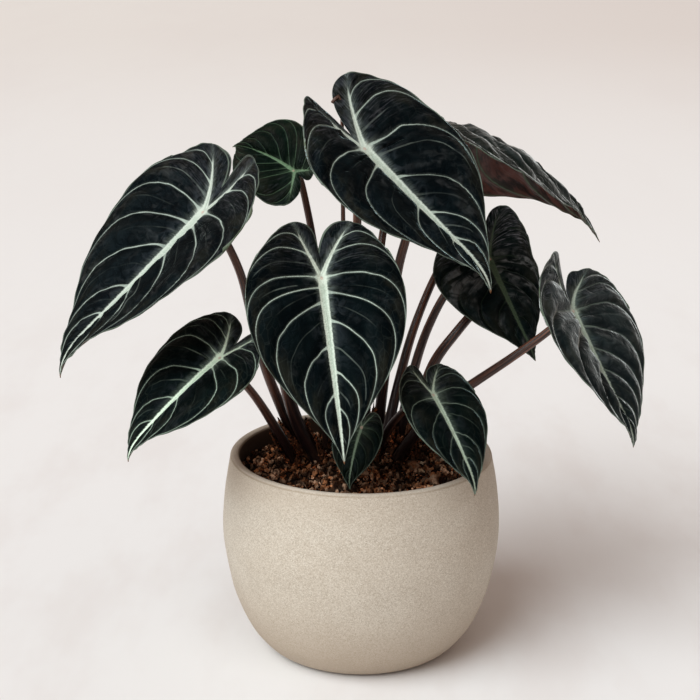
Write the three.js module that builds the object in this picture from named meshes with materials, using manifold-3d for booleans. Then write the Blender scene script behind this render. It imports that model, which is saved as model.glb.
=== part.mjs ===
// Black velvet alocasia in a round stoneware pot, in millimetres, +Z up.
// The pot stands on z = 0 with its axis on Z; the front of the plant faces -Y.
import * as THREE from 'three';
import Module from 'manifold-3d';

const wasm = await Module();
wasm.setup();

// ---- pot and soil ----
const ROUND = 40; // facets around the pot
const POT_H = 124.3;
const POT_OUT = [ // outer wall, from the flat base to the rim: radius, height
  [50, 0], [55, 0.9], [59.5, 3.6], [63.5, 7.8], [69, 15], [74.2, 25], [78.6, 37], [81.8, 50],
  [84, 63], [85, 75], [84.9, 87], [83.8, 99], [82, 111], [79.9, 122.6], [79.2, 123.9], [78, POT_H],
];
const POT_IN = [ // inner wall, from the rim down to the floor
  [75, POT_H], [74.2, 123.7], [74, 122.6], [76.2, 111], [78, 99], [79, 87], [79, 75], [78, 63],
  [75.8, 50], [72.4, 37], [67.6, 25], [61.5, 15], [55, 9.5], [48, 8],
];
const SOIL_GAP = 0.35; // between soil and pot, and between soil and stalks
const SOIL_EDGE = 111; // height of the soil beside the wall
const SOIL_MOUND = 4.5; // extra height at the crown
const SOIL_LUMP = 1.6; // half height of the lumps

// ---- blade outline and veins of one half, blade length from stalk to tip = 1 ----
const MARGIN = [
  [0, 1], [0.022, 0.93], [0.062, 0.85], [0.15, 0.735], [0.258, 0.6], [0.345, 0.465],
  [0.405, 0.32], [0.43, 0.165], [0.415, 0.01], [0.365, -0.125], [0.285, -0.235],
  [0.185, -0.3], [0.096, -0.298], [0.042, -0.258], [0.015, -0.2], [0, -0.14],
];
const APEX = 11; // outline point at the end of the basal lobe
const LOBE_BOW = [0.072, -0.155]; // bends the rib of the lobe
const NOTCH = 0.14; // depth of the notch between the lobes
const VEINS = [ // foot on the rib, outline point, leaving and arriving angle
  [1, 0, 30, 10], [0.82, 1.1, 45, -18], [0.65, 2.05, 56, -24], [0.44, 2.95, 64, -26],
  [0.2, 4.2, 70, -22], [0.065, 5.85, 80, -12], [0, 7.3, 98, 2], [-0.42, 8.8, 112, 22],
  [-0.66, 10, 140, 66], [-1, 11, 165, 120],
];
const THICK = 0.9; // blade thickness
const QUILT = 0.011; // rise of the fields between the veins, of the blade length
const WAVE = 0.007; // waves of the edge, of the blade length
const COLUMNS = [0, 0.3, 0.66, 1]; // from rib to edge
const LOBE_COLUMNS = [0, 0.5, 1];

// ---- blades: place of the stalk's end, way of the tip, and how the blade bends ----
// size, heading and dip of the tip, roll; bow of the midrib ahead and behind the stalk, hook
// of the tip; fold, curl and lift of the right and left half; twist, sideways sweep ahead
// and behind; width, share of the right half; length of the lobes; taper; notch; main veins
const BLADES = {
  leaf_left_high: { at: [-89.8, -38, 278.7], size: 126.5, head: -158.8, dip: 43, roll: 13.8,
    bow: 0, back: -0.6, hook: 0.95, fold: [0.28, 0.17], curl: [0.02, 0.05], lift: [-0.13, 0],
    twist: -0.1, sweep: 0.1, sway: 1.6, wide: 1, right: 1.02, lobe: [0.93, 1.08], taper: 0.05,
    notch: 1.37, veins: [2.1, 2.9, 3.85, 4.9, 6] },
  leaf_back_left: { at: [-41, 42, 289.2], size: 73.5, head: 119.5, dip: -12.1, roll: 37.4,
    bow: 0.02, back: 0.88, hook: 0.45, fold: [1, 0.59], curl: [0.33, 0.28], lift: [0, -0.34],
    twist: 0.14, sweep: -0.3, sway: -0.97, wide: 0.93, right: 0.94, lobe: [1, 1.02], taper: 0.34,
    notch: 0.5, veins: [2, 3, 4, 5, 6] },
  leaf_top: { at: [1.5, -2, 309.1], size: 114.9, head: -33.9, dip: 38, roll: -13.7,
    bow: 0, back: 0.06, hook: 0.95, fold: [0.17, 0.26], curl: [0.33, 0.07], lift: [0.33, 0.1],
    twist: -0.11, sweep: -0.06, sway: -0.09, wide: 1.01, right: 0.9, lobe: [1.18, 1.35],
    taper: 0.13, notch: 0.49, veins: [2, 3, 4.2, 5.1, 6] },
  leaf_back_right: { at: [48.1, 86, 314.6], size: 143.7, head: 13.8, dip: 13.1, roll: 9.4,
    bow: 0.8, back: 0.35, hook: 0.15, fold: [-0.19, -0.66], curl: [0.11, 0.31], lift: [0, 0],
    twist: -0.38, sweep: -0.06, sway: 0, wide: 0.99, right: 1.01, lobe: [1, 1], taper: -0.01,
    notch: 1, veins: [1, 2, 3, 4, 5, 6] },
  leaf_front: { at: [-22.7, -66, 247.1], size: 104.5, head: -73.4, dip: 62.6, roll: -2.1,
    bow: 0.3, back: 0.29, hook: 0.17, fold: [0.39, 0.29], curl: [0.4, 0.3], lift: [0.2, -0.09],
    twist: -0.4, sweep: -0.06, sway: -0.39, wide: 1.01, right: 1.01, lobe: [0.94, 1.01],
    taper: 0.05, notch: 1.2, veins: [2, 3, 4.15, 5.15, 6] },
  leaf_left_low: { at: [-81.2, -50, 196.5], size: 81.8, head: -154, dip: 34.2, roll: 18.5,
    bow: 0.34, back: 0.14, hook: 0.84, fold: [0.27, 0.25], curl: [0.24, 0.33],
    lift: [0.07, 0.14], twist: -0.11, sweep: 0.09, sway: 0.63, wide: 1.01, right: 1.02,
    lobe: [0.94, 1.02], taper: 0.02, notch: 1.1, veins: [2.1, 3.15, 4.5, 6] },
  leaf_right_mid: { at: [78.2, 28, 237.3], size: 72.7, head: -64.9, dip: 41.4, roll: -23.2,
    bow: 0.68, back: 0.29, hook: 0.95, fold: [0.28, -0.36], curl: [0.31, 0.3],
    lift: [0.12, 0.3], twist: 0.33, sweep: -0.15, sway: -0.7, wide: 1.12, right: 1.05,
    lobe: [1.06, 1.5], taper: 0.11, notch: 0.9, veins: [2.3, 3.2, 3.9, 4.8, 6] },
  leaf_right_far: { at: [122.2, -30, 219], size: 88.6, head: -50.2, dip: 53.3, roll: -6.8,
    bow: 0.25, back: -0.27, hook: 0.95, fold: [0.52, 0.08], curl: [0.19, 0.12],
    lift: [0.03, 0.03], twist: 0.03, sweep: -0.3, sway: -1.6, wide: 1.01, right: 0.97,
    lobe: [1.34, 0.85], taper: 0.06, notch: 0.85, veins: [2.2, 3.1, 4.4, 6] },
  leaf_right_low: { at: [40.5, -58, 176.9], size: 63.7, head: -50.7, dip: 44.2, roll: -6.2,
    bow: 0.34, back: 0.21, hook: 0.79, fold: [0.29, 0.1], curl: [0.28, 0.23],
    lift: [0.1, 0.03], twist: -0.03, sweep: -0.04, sway: -1.08, wide: 0.99, right: 0.97,
    lobe: [1.05, 0.91], taper: 0.01, notch: 1, veins: [2.2, 3.2, 4.45, 6] },
  leaf_small: { at: [0.1, -42, 152.3], size: 38.6, head: -129.9, dip: 58.5, roll: 3.8,
    bow: 0.52, back: 0.35, hook: 0.47, fold: [0.28, 0.19], curl: [0.32, 0.32],
    lift: [0, 0.03], twist: 0.11, sweep: 0.02, sway: -0.02, wide: 1, right: 1.02,
    lobe: [1, 0.88], taper: -0.02, notch: 0.97, veins: [2, 3, 4, 5, 6] },
  leaf_rear: { at: [16, 58, 271], size: 82, head: 80, dip: 8, roll: 0,
    bow: 0.35, back: 0.25, hook: 0.5, fold: [0.15, 0.15], curl: [0.25, 0.25], lift: [0, 0],
    twist: 0, sweep: 0, sway: 0, wide: 1, right: 1, lobe: [1, 1], taper: 0,
    notch: 1, veins: [2, 3, 4, 5, 6] },
  leaf_rear_right: { at: [62.3, 77.3, 243.7], size: 75.9, head: 62.3, dip: 32, roll: 0,
    bow: 0.35, back: 0.25, hook: 0.5, fold: [0.15, 0.15], curl: [0.25, 0.25], lift: [0, 0],
    twist: 0, sweep: 0, sway: 0, wide: 1, right: 1, lobe: [1, 1], taper: 0,
    notch: 1, veins: [2, 3, 4, 5, 6] },
  leaf_rear_far: { at: [126.5, 22, 203], size: 58, head: 20, dip: 52, roll: -8,
    bow: 0.35, back: 0.25, hook: 0.5, fold: [0.15, 0.15], curl: [0.25, 0.25], lift: [0, 0],
    twist: 0, sweep: 0, sway: 0, wide: 1, right: 1, lobe: [1, 1], taper: 0,
    notch: 1, veins: [2, 3, 4, 5, 6] },
};

// ---- stalks: radius at foot and top, foot on the soil, points on the way up ----
const FOOT_Z = 115;
const STALK_DEPTH = 25; // how far each stalk stands in the soil
const STALK_SIDES = 8;
const STALK_END = 7; // last stretch, square to the blade
const END_GAP = 0.3; // between the stalk's end and the blade
const STALKS = {
  stalk_left_high: { r: [4, 2.3], foot: [-35, 18],
    way: [[-47, 13, 142], [-58, 4, 175], [-65, -9, 210], [-71, -21, 241], [-80, -30, 264]] },
  stalk_back_left: { r: [3.6, 2.1], foot: [-21, 32],
    way: [[-24, 36, 180], [-28, 40, 235], [-33, 43, 265]] },
  stalk_top: { r: [4.2, 2.4], foot: [-9, 17], way: [[-8, 12, 180], [-3, 6, 250]] },
  stalk_back_right: { r: [4, 2.4], foot: [10, 39],
    way: [[16, 33, 175], [22.5, 28, 231], [27, 26, 250], [33, 25, 270], [39, 36, 290],
      [45, 62, 304]] },
  stalk_front: { r: [5.5, 2.4], foot: [-26, 5],
    way: [[-38, -2, 140], [-46, -15, 175], [-45, -34, 212], [-34, -50, 236]] },
  stalk_left_low: { r: [3.9, 2.2], foot: [-41, 3], way: [[-55, -17, 150], [-67, -32, 174]] },
  stalk_right_mid: { r: [4, 2.3], foot: [23, 30],
    way: [[33, 29, 167], [42, 30, 195], [54, 33, 217], [68, 36, 230]] },
  stalk_right_far: { r: [4.2, 2.3], foot: [21, 5],
    way: [[33, 1, 134], [48, -5, 154], [66, -10, 169], [88, -17, 187], [106, -21, 202]] },
  stalk_right_low: { r: [3.3, 1.9], foot: [8, 4], way: [[15, -9, 138], [27, -32, 161]] },
  stalk_small: { r: [2.6, 1.3], foot: [-9, -3], way: [[-7, -14, 132], [0, -30, 145]] },
  stalk_rear: { r: [4, 2.3], foot: [1, 28], way: [[6, 33, 180], [12, 42, 240]] },
  stalk_rear_right: { r: [4, 2.3], foot: [14, 22],
    way: [[28, 40, 173], [37, 51, 198], [49, 64, 222]] },
  stalk_rear_far: { r: [4.6, 2.3], foot: [31, 17],
    way: [[43, 14, 172], [57, 16, 193], [74, 24, 209], [93, 32, 214], [110, 32, 208]] },
  stalk_old: { r: [3.2, 1], foot: [-9, 38], way: [[-10, 27, 200], [-11, 21, 265],
    [-11.5, 21, 318], [-12, 20, 332.5], [-14, 18.8, 337.5], [-17.5, 18.2, 333.5]] },
};

const LEAF_COLOUR = 0x15201b;
const STALK_COLOUR = 0x3a2622;
const POT_COLOUR = 0xc9bca8;
const SOIL_COLOUR = 0x33231a;

const rad = (d) => (d * Math.PI) / 180;
const clamp = (x, a, b) => Math.min(b, Math.max(a, x));
const mix = (a, b, t) => a.map((v, i) => v * (1 - t) + b[i] * t);

// smooth curve through the rows of a table
function through(rows, x) {
  const n = rows.length - 1;
  x = clamp(x, 0, n);
  const i = Math.min(Math.floor(x), n - 1);
  const f = x - i;
  return rows[0].map((_, c) => {
    const p1 = rows[i][c], p2 = rows[i + 1][c];
    const p0 = i === 0 ? 2 * p1 - p2 : rows[i - 1][c];
    const p3 = i === n - 1 ? 2 * p2 - p1 : rows[i + 2][c];
    return 0.5 * (2 * p1 + (p2 - p0) * f + (2 * p0 - 5 * p1 + 4 * p2 - p3) * f * f
      + (3 * p1 - p0 - 3 * p2 + p3) * f * f * f);
  });
}

// foot of a vein: 1..0 along the midrib, 0..-1 down the rib of the lobe
function rib(s) {
  if (s >= 0) return [0, s];
  const q = -s, end = MARGIN[APEX];
  return [0, 1].map((c) => 2 * (1 - q) * q * LOBE_BOW[c] + q * q * end[c]);
}

// a point of the outer field: k runs from the tip to the end of the lobe, t from rib to edge
function field(k, t) {
  const [s, m, out, into] = through(VEINS, k);
  const a = rib(clamp(s, -1, 1));
  const e = through(MARGIN, clamp(m, 0, APEX));
  const c = Math.hypot(e[0] - a[0], e[1] - a[1]);
  const b = [a[0] + Math.sin(rad(out)) * c * 0.4, a[1] + Math.cos(rad(out)) * c * 0.4];
  const d = [e[0] - Math.sin(rad(into)) * c * 0.33, e[1] - Math.cos(rad(into)) * c * 0.33];
  const u = 1 - t;
  return [0, 1].map((i) => u ** 3 * a[i] + 3 * u * u * t * b[i] + 3 * u * t * t * d[i] + t ** 3 * e[i]);
}

// a point of the inner field of the lobe, between its rib and the notch
function inner(j, t, notch) {
  const last = MARGIN.length - 1;
  const edge = MARGIN.map(([x, y], i) => [x, y + (1 - notch) * NOTCH * clamp((i - APEX) / 4, 0, 1) ** 1.3]);
  return mix(rib(-j), through(edge, last - (last - APEX) * j), t);
}

// bends the flat pattern: returns a function from pattern point and side to the place in space
function bender(b) {
  const N = 400, LOW = -0.7, STEP = 2 / N;
  const angle = [], ys = [0], zs = [0];
  for (let i = 0; i <= N; i++) {
    const v = LOW + i * STEP;
    const tip = clamp((v - 0.7) / 0.3, 0, 1.5);
    angle.push((v > 0 ? -b.bow * v : -b.back * v) - b.hook * tip * tip);
    if (i > 0) {
      const m = (angle[i] + angle[i - 1]) / 2;
      ys.push(ys[i - 1] + Math.cos(m) * STEP);
      zs.push(zs[i - 1] + Math.sin(m) * STEP);
    }
  }
  const read = (list, v) => {
    const x = clamp((v - LOW) / STEP, 0, N - 1e-9);
    const i = Math.floor(x);
    return list[i] + (list[i + 1] - list[i]) * (x - i);
  };
  const y0 = read(ys, 0), z0 = read(zs, 0);
  const h = rad(b.head), d = rad(b.dip), r = rad(b.roll);
  const tip = new THREE.Vector3(Math.cos(h) * Math.cos(d), Math.sin(h) * Math.cos(d), -Math.sin(d));
  const up = new THREE.Vector3(Math.cos(h) * Math.sin(d), Math.sin(h) * Math.sin(d), Math.cos(d));
  const side0 = new THREE.Vector3().crossVectors(tip, up);
  const lat = side0.clone().multiplyScalar(Math.cos(r)).addScaledVector(up, Math.sin(r));
  const nor = side0.clone().multiplyScalar(-Math.sin(r)).addScaledVector(up, Math.cos(r));
  const place = ([u, v], side) => {
    const s = side > 0 ? 0 : 1;
    const mean = (b.lobe[0] + b.lobe[1]) / 2;
    const reach = clamp(u / 0.12, 0, 1);
    if (v < 0) v *= mean + (b.lobe[s] - mean) * reach * reach * (3 - 2 * reach);
    u *= b.wide * (side > 0 ? b.right : 1 / b.right) * (1 - b.taper * (v - 0.3));
    const th = read(angle, v);
    const q = clamp(-v / 0.3, 0, 1.3);
    const a = b.fold[s] + b.lift[s] * q * q * (3 - 2 * Math.min(q, 1));
    const c = Math.max(b.curl[s] / 0.42, 1e-4);
    const bent = a - c * u;
    const x = (side * (Math.sin(a) - Math.sin(bent))) / c;
    const w = (Math.cos(bent) - Math.cos(a)) / c;
    const tw = b.twist * v;
    const xr = x * Math.cos(tw) - w * Math.sin(tw) + (v > 0 ? b.sweep : b.sway) * v * v * 0.5;
    const wr = x * Math.sin(tw) + w * Math.cos(tw);
    return new THREE.Vector3(...b.at)
      .addScaledVector(lat, xr * b.size)
      .addScaledVector(tip, (read(ys, v) - y0 - wr * Math.sin(th)) * b.size)
      .addScaledVector(nor, (read(zs, v) - z0 + wr * Math.cos(th)) * b.size);
  };
  return { place, nor };
}

// turns a closed body the right way out and makes a geometry of it
function signedVolume(points, faces) {
  let v = 0;
  for (const [a, b, c] of faces) v += points[a].dot(points[b].clone().cross(points[c]));
  return v / 6;
}
function facedOut(points, faces) {
  return signedVolume(points, faces) > 0 ? faces : faces.map(([a, b, c]) => [a, c, b]);
}
function geometryOf(points, faces) {
  const g = new THREE.BufferGeometry();
  g.setAttribute('position', new THREE.Float32BufferAttribute(points.flatMap((p) => p.toArray()), 3));
  g.setIndex(facedOut(points, faces).flat());
  g.computeVertexNormals();
  return g;
}

// a blade: both faces share one net, joined by a wall along the edge
function bladeGeometry(b) {
  const { place } = bender(b);
  const ribs = [0, ...b.veins, 7, 8, 9];
  const rows = [{ k: 0, rise: 0 }];
  for (let i = 1; i < ribs.length; i++) {
    rows.push({ k: (ribs[i - 1] + ribs[i]) / 2, rise: 1 });
    rows.push({ k: ribs[i], rise: 0 });
  }
  const points = [], extra = [], found = new Map();
  const add = (p, lift) => {
    const key = p.toArray().map((v) => Math.round(v * 500)).join(' ');
    if (!found.has(key)) {
      found.set(key, points.length);
      points.push(p);
      extra.push(lift);
    }
    return found.get(key);
  };
  const faces = [];
  const net = (grid, flip) => {
    for (let i = 0; i + 1 < grid.length; i++) {
      for (let j = 0; j + 1 < grid[i].length; j++) {
        const q = [grid[i][j], grid[i + 1][j], grid[i + 1][j + 1], grid[i][j + 1]];
        for (const t of [[q[0], q[1], q[2]], [q[0], q[2], q[3]]]) {
          if (new Set(t).size === 3) faces.push(flip ? [t[0], t[2], t[1]] : t);
        }
      }
    }
  };
  for (const side of [1, -1]) {
    const outer = rows.map(({ k, rise }) => COLUMNS.map((t) => {
      const belly = Math.sin(Math.PI * Math.min(1, t * 1.1)) * 0.9 + 0.1 * (t > 0 ? 1 : 0);
      const wave = t * t * Math.sin(k * 2.9 + side * 1.3 + b.size) * Math.min(1, k / 2);
      return add(place(field(k, t), side), b.size * (QUILT * rise * belly + WAVE * wave));
    }));
    net(outer, side < 0);
    const lobe = rows.filter((r) => r.k >= 6).map(({ k }) => {
      const j = clamp(-through(VEINS, k)[0], 0, 1);
      return LOBE_COLUMNS.map((t) => add(place(inner(j, t, b.notch), side), 0));
    });
    net(lobe, side > 0);
  }
  const normal = points.map(() => new THREE.Vector3());
  for (const f of faces) {
    const [a, c, d] = f.map((i) => points[i]);
    const n = new THREE.Vector3().subVectors(c, a).cross(new THREE.Vector3().subVectors(d, a));
    for (const i of f) normal[i].add(n);
  }
  normal.forEach((n) => n.normalize());
  const count = points.length;
  const body = [1, -1].flatMap((face) => points.map((p, i) => p.clone()
    .addScaledVector(normal[i], extra[i] + (face * THICK) / 2)));
  const all = [...faces, ...faces.map(([a, c, d]) => [a + count, d + count, c + count])];
  const edges = new Map();
  for (const [a, c, d] of faces) {
    for (const [p, q] of [[a, c], [c, d], [d, a]]) {
      if (edges.has(`${q} ${p}`)) edges.delete(`${q} ${p}`);
      else edges.set(`${p} ${q}`, [p, q]);
    }
  }
  for (const [p, q] of edges.values()) {
    all.push([p + count, q + count, q], [p + count, q, p]);
  }
  return geometryOf(body, all);
}

// a round bar along a curve, as points and faces
function bar(curve, rings, from, to, radiusAt) {
  const points = [], faces = [];
  const steps = Array.from({ length: rings + 1 }, (_, i) => from + ((to - from) * i) / rings);
  let side = new THREE.Vector3(1, 0, 0);
  for (const s of steps) {
    const t = curve.getTangentAt(s);
    side = side.clone().addScaledVector(t, -side.dot(t)).normalize();
    const other = new THREE.Vector3().crossVectors(t, side);
    const centre = curve.getPointAt(s);
    for (let i = 0; i < STALK_SIDES; i++) {
      const a = (2 * Math.PI * i) / STALK_SIDES;
      points.push(centre.clone().addScaledVector(side, Math.cos(a) * radiusAt(s))
        .addScaledVector(other, Math.sin(a) * radiusAt(s)));
    }
  }
  const n = STALK_SIDES;
  for (let r = 0; r < rings; r++) {
    for (let i = 0; i < n; i++) {
      const a = r * n + i, b = r * n + ((i + 1) % n);
      faces.push([a, b, b + n], [a, b + n, a + n]);
    }
  }
  for (let i = 1; i + 1 < n; i++) {
    faces.push([0, i + 1, i], [rings * n, rings * n + i, rings * n + i + 1]);
  }
  return { points, faces: facedOut(points, faces) };
}

function stalkCurve(name) {
  const s = STALKS[name];
  const [x, y] = s.foot;
  const points = [[x, y, FOOT_Z - STALK_DEPTH], [x, y, FOOT_Z - STALK_DEPTH / 2], [x, y, FOOT_Z - 2], ...s.way]
    .map((p) => new THREE.Vector3(...p));
  const b = BLADES[name.replace('stalk', 'leaf')];
  if (b) {
    const { nor } = bender(b);
    const droop = Math.max(0, ...b.fold.map((f) => -Math.tan(f))) * s.r[1] * 1.4;
    const end = new THREE.Vector3(...b.at).addScaledVector(nor, -(THICK / 2 + END_GAP + droop));
    points.push(end.clone().addScaledVector(nor, -STALK_END), end);
  }
  return new THREE.CatmullRomCurve3(points, false, 'centripetal');
}

function stalkBar(name) {
  const s = STALKS[name];
  const curve = stalkCurve(name);
  const rings = clamp(Math.round(curve.getLength() / 17), 7, 15);
  const radius = (u) => s.r[0] + (s.r[1] - s.r[0]) * (1 - (1 - u) ** 1.6);
  return bar(curve, rings, 0, 1, radius);
}

// the hole a stalk stands in: the same bar, a little thicker
function holeBar(name) {
  const s = STALKS[name];
  const curve = stalkCurve(name);
  const length = curve.getLength();
  const rings = clamp(Math.round(length / 17), 7, 15);
  const radius = (u) => s.r[0] + (s.r[1] - s.r[0]) * (1 - (1 - u) ** 1.6) + SOIL_GAP;
  const last = Math.ceil((STALK_DEPTH + 12) / (length / rings)) / rings;
  const hole = bar(curve, Math.round(last * rings), 0, last, radius);
  hole.points.slice(0, STALK_SIDES).forEach((p) => { p.z -= SOIL_GAP; });
  return hole;
}

// a turned body from a profile of [radius, height] that starts and ends on the axis
function turned(profile, heightAt) {
  const points = [], rings = [], faces = [];
  for (const [r, z] of profile) {
    const ring = [];
    for (let i = 0; i < ROUND; i++) {
      if (r === 0 && i > 0) { ring.push(ring[0]); continue; }
      const a = (2 * Math.PI * i) / ROUND;
      const x = r * Math.cos(a), y = r * Math.sin(a);
      ring.push(points.length);
      points.push(new THREE.Vector3(x, y, heightAt ? heightAt(x, y, z) : z));
    }
    rings.push(ring);
  }
  for (let r = 0; r + 1 < rings.length; r++) {
    for (let i = 0; i < ROUND; i++) {
      const j = (i + 1) % ROUND;
      const q = [rings[r][i], rings[r][j], rings[r + 1][j], rings[r + 1][i]];
      for (const t of [[q[0], q[1], q[2]], [q[0], q[2], q[3]]]) {
        if (new Set(t).size === 3) faces.push(t);
      }
    }
  }
  return { points, faces: facedOut(points, faces) };
}

const toManifold = ({ points, faces }) => new wasm.Manifold(new wasm.Mesh({
  numProp: 3,
  vertProperties: new Float32Array(points.flatMap((p) => p.toArray())),
  triVerts: new Uint32Array(faces.flat()),
}));

function soilGeometry() {
  const wall = [13, 12, 10, 8, 6, 5].map((i) => [POT_IN[i][0] - SOIL_GAP, POT_IN[i][1] + SOIL_GAP * 0.7]);
  const profile = [[0, wall[0][1]], ...wall, [POT_IN[3][0] - SOIL_GAP - 0.25, SOIL_EDGE],
    ...[66, 54, 42, 30, 18, 8, 0].map((r) => [r, SOIL_EDGE])];
  const body = turned(profile, (x, y, z) => {
    if (z < SOIL_EDGE) return z;
    const r = Math.hypot(x, y);
    const lump = Math.sin(x * 0.21 + y * 0.07) * Math.cos(y * 0.18 - x * 0.05)
      + 0.5 * Math.sin(x * 0.43 - y * 0.31);
    return z + SOIL_MOUND * Math.exp(-((r / 42) ** 2)) + SOIL_LUMP * lump * (1 - (r / 84) ** 6);
  });
  let soil = toManifold(body);
  for (const name of Object.keys(STALKS)) soil = soil.subtract(toManifold(holeBar(name)));
  const mesh = soil.getMesh();
  const g = new THREE.BufferGeometry();
  g.setAttribute('position', new THREE.Float32BufferAttribute(mesh.vertProperties, 3));
  g.setIndex(Array.from(mesh.triVerts));
  g.computeVertexNormals();
  return g;
}

const group = new THREE.Group();
group.name = 'potted_alocasia';
function addPiece(name, geometry, color, roughness, metalness) {
  const piece = new THREE.Mesh(geometry, new THREE.MeshStandardMaterial({ color, roughness, metalness }));
  piece.name = name;
  group.add(piece);
}

const pot = turned([[0, 0], ...POT_OUT, ...POT_IN, [0, 8]]);
addPiece('pot', geometryOf(pot.points, pot.faces), POT_COLOUR, 0.85, 0);
addPiece('soil', soilGeometry(), SOIL_COLOUR, 1, 0);
for (const [name, blade] of Object.entries(BLADES)) {
  addPiece(name, bladeGeometry(blade), LEAF_COLOUR, 0.7, 0);
}
for (const name of Object.keys(STALKS)) {
  const s = stalkBar(name);
  addPiece(name, geometryOf(s.points, s.faces), STALK_COLOUR, 0.5, 0);
}

export default group;
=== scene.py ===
"""Black velvet alocasia in a round stoneware pot: the finished looks.

Sizes are in millimetres up to make_mesh, which turns them into metres; +Z is up and -Y is the front.
"""
import math
from functools import partial

import bpy
import numpy as np
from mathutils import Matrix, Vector


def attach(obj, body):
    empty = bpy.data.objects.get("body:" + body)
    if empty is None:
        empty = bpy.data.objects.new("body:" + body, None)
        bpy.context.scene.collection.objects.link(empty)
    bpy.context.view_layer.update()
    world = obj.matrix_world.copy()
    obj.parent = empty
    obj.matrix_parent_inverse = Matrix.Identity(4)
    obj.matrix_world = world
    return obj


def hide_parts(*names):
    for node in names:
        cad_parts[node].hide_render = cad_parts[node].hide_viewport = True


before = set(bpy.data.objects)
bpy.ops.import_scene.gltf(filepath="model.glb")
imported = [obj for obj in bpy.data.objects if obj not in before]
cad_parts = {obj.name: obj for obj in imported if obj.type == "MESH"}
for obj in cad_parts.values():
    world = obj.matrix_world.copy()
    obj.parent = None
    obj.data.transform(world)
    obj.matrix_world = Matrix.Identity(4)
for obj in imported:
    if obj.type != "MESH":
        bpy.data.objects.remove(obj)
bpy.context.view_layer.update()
MM = 0.001

# ---------------------------------------------------------------- sizes, in millimetres

# the pot's section as (radius, height), from the base up the outside, over the lip and down the inside
POT_OUTSIDE = [(50, 0), (55, 0.9), (59.5, 3.6), (63.5, 7.8), (69, 15), (74.2, 25), (78.6, 37), (81.8, 50),
               (84, 63), (85, 75), (84.9, 87), (83.8, 99), (82, 111), (80.2, 120.5)]
POT_LIP = [(79.95, 122.4), (79.45, 123.5), (78.6, 124.1), (77.4, 124.3), (76.2, 124.15), (75.1, 123.6),
           (74.4, 122.6)]
POT_INSIDE = [(74.5, 120.5), (76.2, 111), (78, 99), (79, 87), (79, 75), (78, 63), (75.8, 50), (72.4, 37),
              (67.6, 25), (61.5, 15), (55, 9.5), (48, 8)]
POT_SEGMENTS = 192
SOIL_EDGE = 111
SOIL_MOUND = 4.5
SOIL_MOUND_RADIUS = 42
SOIL_LUMP = 1.6
SOIL_RADIUS = 75.6
SOIL_BELOW = [(75.5, 109), (77, 99), (78.2, 80), (77, 63), (74.8, 50), (66.5, 25), (54.5, 10), (47, 8.6),
              (0, 8.6)]
SOIL_SEGMENTS = 260

# the margin of one half of a blade from tip to notch; the stalk joins at (0, 0) and the tip is at (0, 1)
MARGIN = np.array([
    (0, 1), (0.022, 0.93), (0.062, 0.85), (0.15, 0.735), (0.258, 0.6), (0.345, 0.465), (0.405, 0.32),
    (0.43, 0.165), (0.415, 0.01), (0.365, -0.125), (0.285, -0.235), (0.185, -0.3), (0.096, -0.298),
    (0.042, -0.258), (0.015, -0.2), (0, -0.14)])
APEX = 11  # the point of MARGIN at the end of the lobe
LOBE_BOW = (0.072, -0.155)  # the point that the lobe's rib bends towards
NOTCH = 0.14  # how far behind the joint the notch ends
# one row for each line of the flat pattern: its foot on the midrib (1..0) or the lobe's rib (0..-1),
# the point of MARGIN that it ends at, and the angles at which it leaves and arrives
VEINS = np.array([
    (1, 0, 30, 10), (0.82, 1.1, 45, -18), (0.65, 2.05, 56, -24), (0.44, 2.95, 64, -26), (0.2, 4.2, 70, -22),
    (0.065, 5.85, 80, -12), (0, 7.3, 98, 2), (-0.42, 8.8, 112, 22), (-0.66, 10, 130, 66), (-1, 11, 138, 112)])
LOBE_ROW = 6  # from this row on, the half has an inner part between the lobe's rib and the notch
LAST_ROW = 9
THICK = 0.9
# shares of a blade's length
QUILT = 0.015
WAVE = 0.007
SCALLOP = 0.0026
RIPPLE = 0.0045
KINK = 0.035  # how far a side vein strays, as a share of the distance to the next
RIB_WIDTH = 0.050
LOBE_RIB_WIDTH = 0.026
RIB_SIZE = 118  # longer blades have no wider ribs than one of this length
AWAY = 50.0  # a distance to veins that means none is near

# how a blade is bent and finished:
#   at, size, head, dip, roll       stalk joint, length to the tip, and the tip's direction
#   bow, back, hook                 bend along the midrib ahead of the joint, behind it and at the tip
#   fold, curl, lift, lobe          for the right and left half: slope at the midrib, roundness,
#                                   extra slope of the lobe, and the lobe's length
#   twist, sweep, sway              turn about the midrib, sideways bend ahead of the joint and behind it
#   wide, right, taper, notch       width, how much of it the right half has, narrowing to the tip,
#                                   and how far behind the joint the notch ends
#   green, pale, lines              share of green in the velvet, of white in the midrib and in the side veins
#   bloom, nap, dust, smoke         sheen, its roughness, painted crest highlight and gloss, painted sheen streaks
#   pucker, mains                   height of the swellings, and the rows at which side veins leave each half
PLAIN = dict(bow=0.35, back=0.25, hook=0.5, fold=(0.15, 0.15), curl=(0.25, 0.25), lift=(0, 0), twist=0,
             sweep=0, sway=0, wide=1, right=1, lobe=(1, 1), taper=0, notch=1, green=0.15, pale=0.8, lines=0.6,
             bloom=0.25, nap=0.2, dust_and_highlight=0.2, sheen_streaks=0.12, pucker=1.3, mains=((2, 3, 4, 5, 6), (2, 3, 4, 5, 6)))
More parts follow.
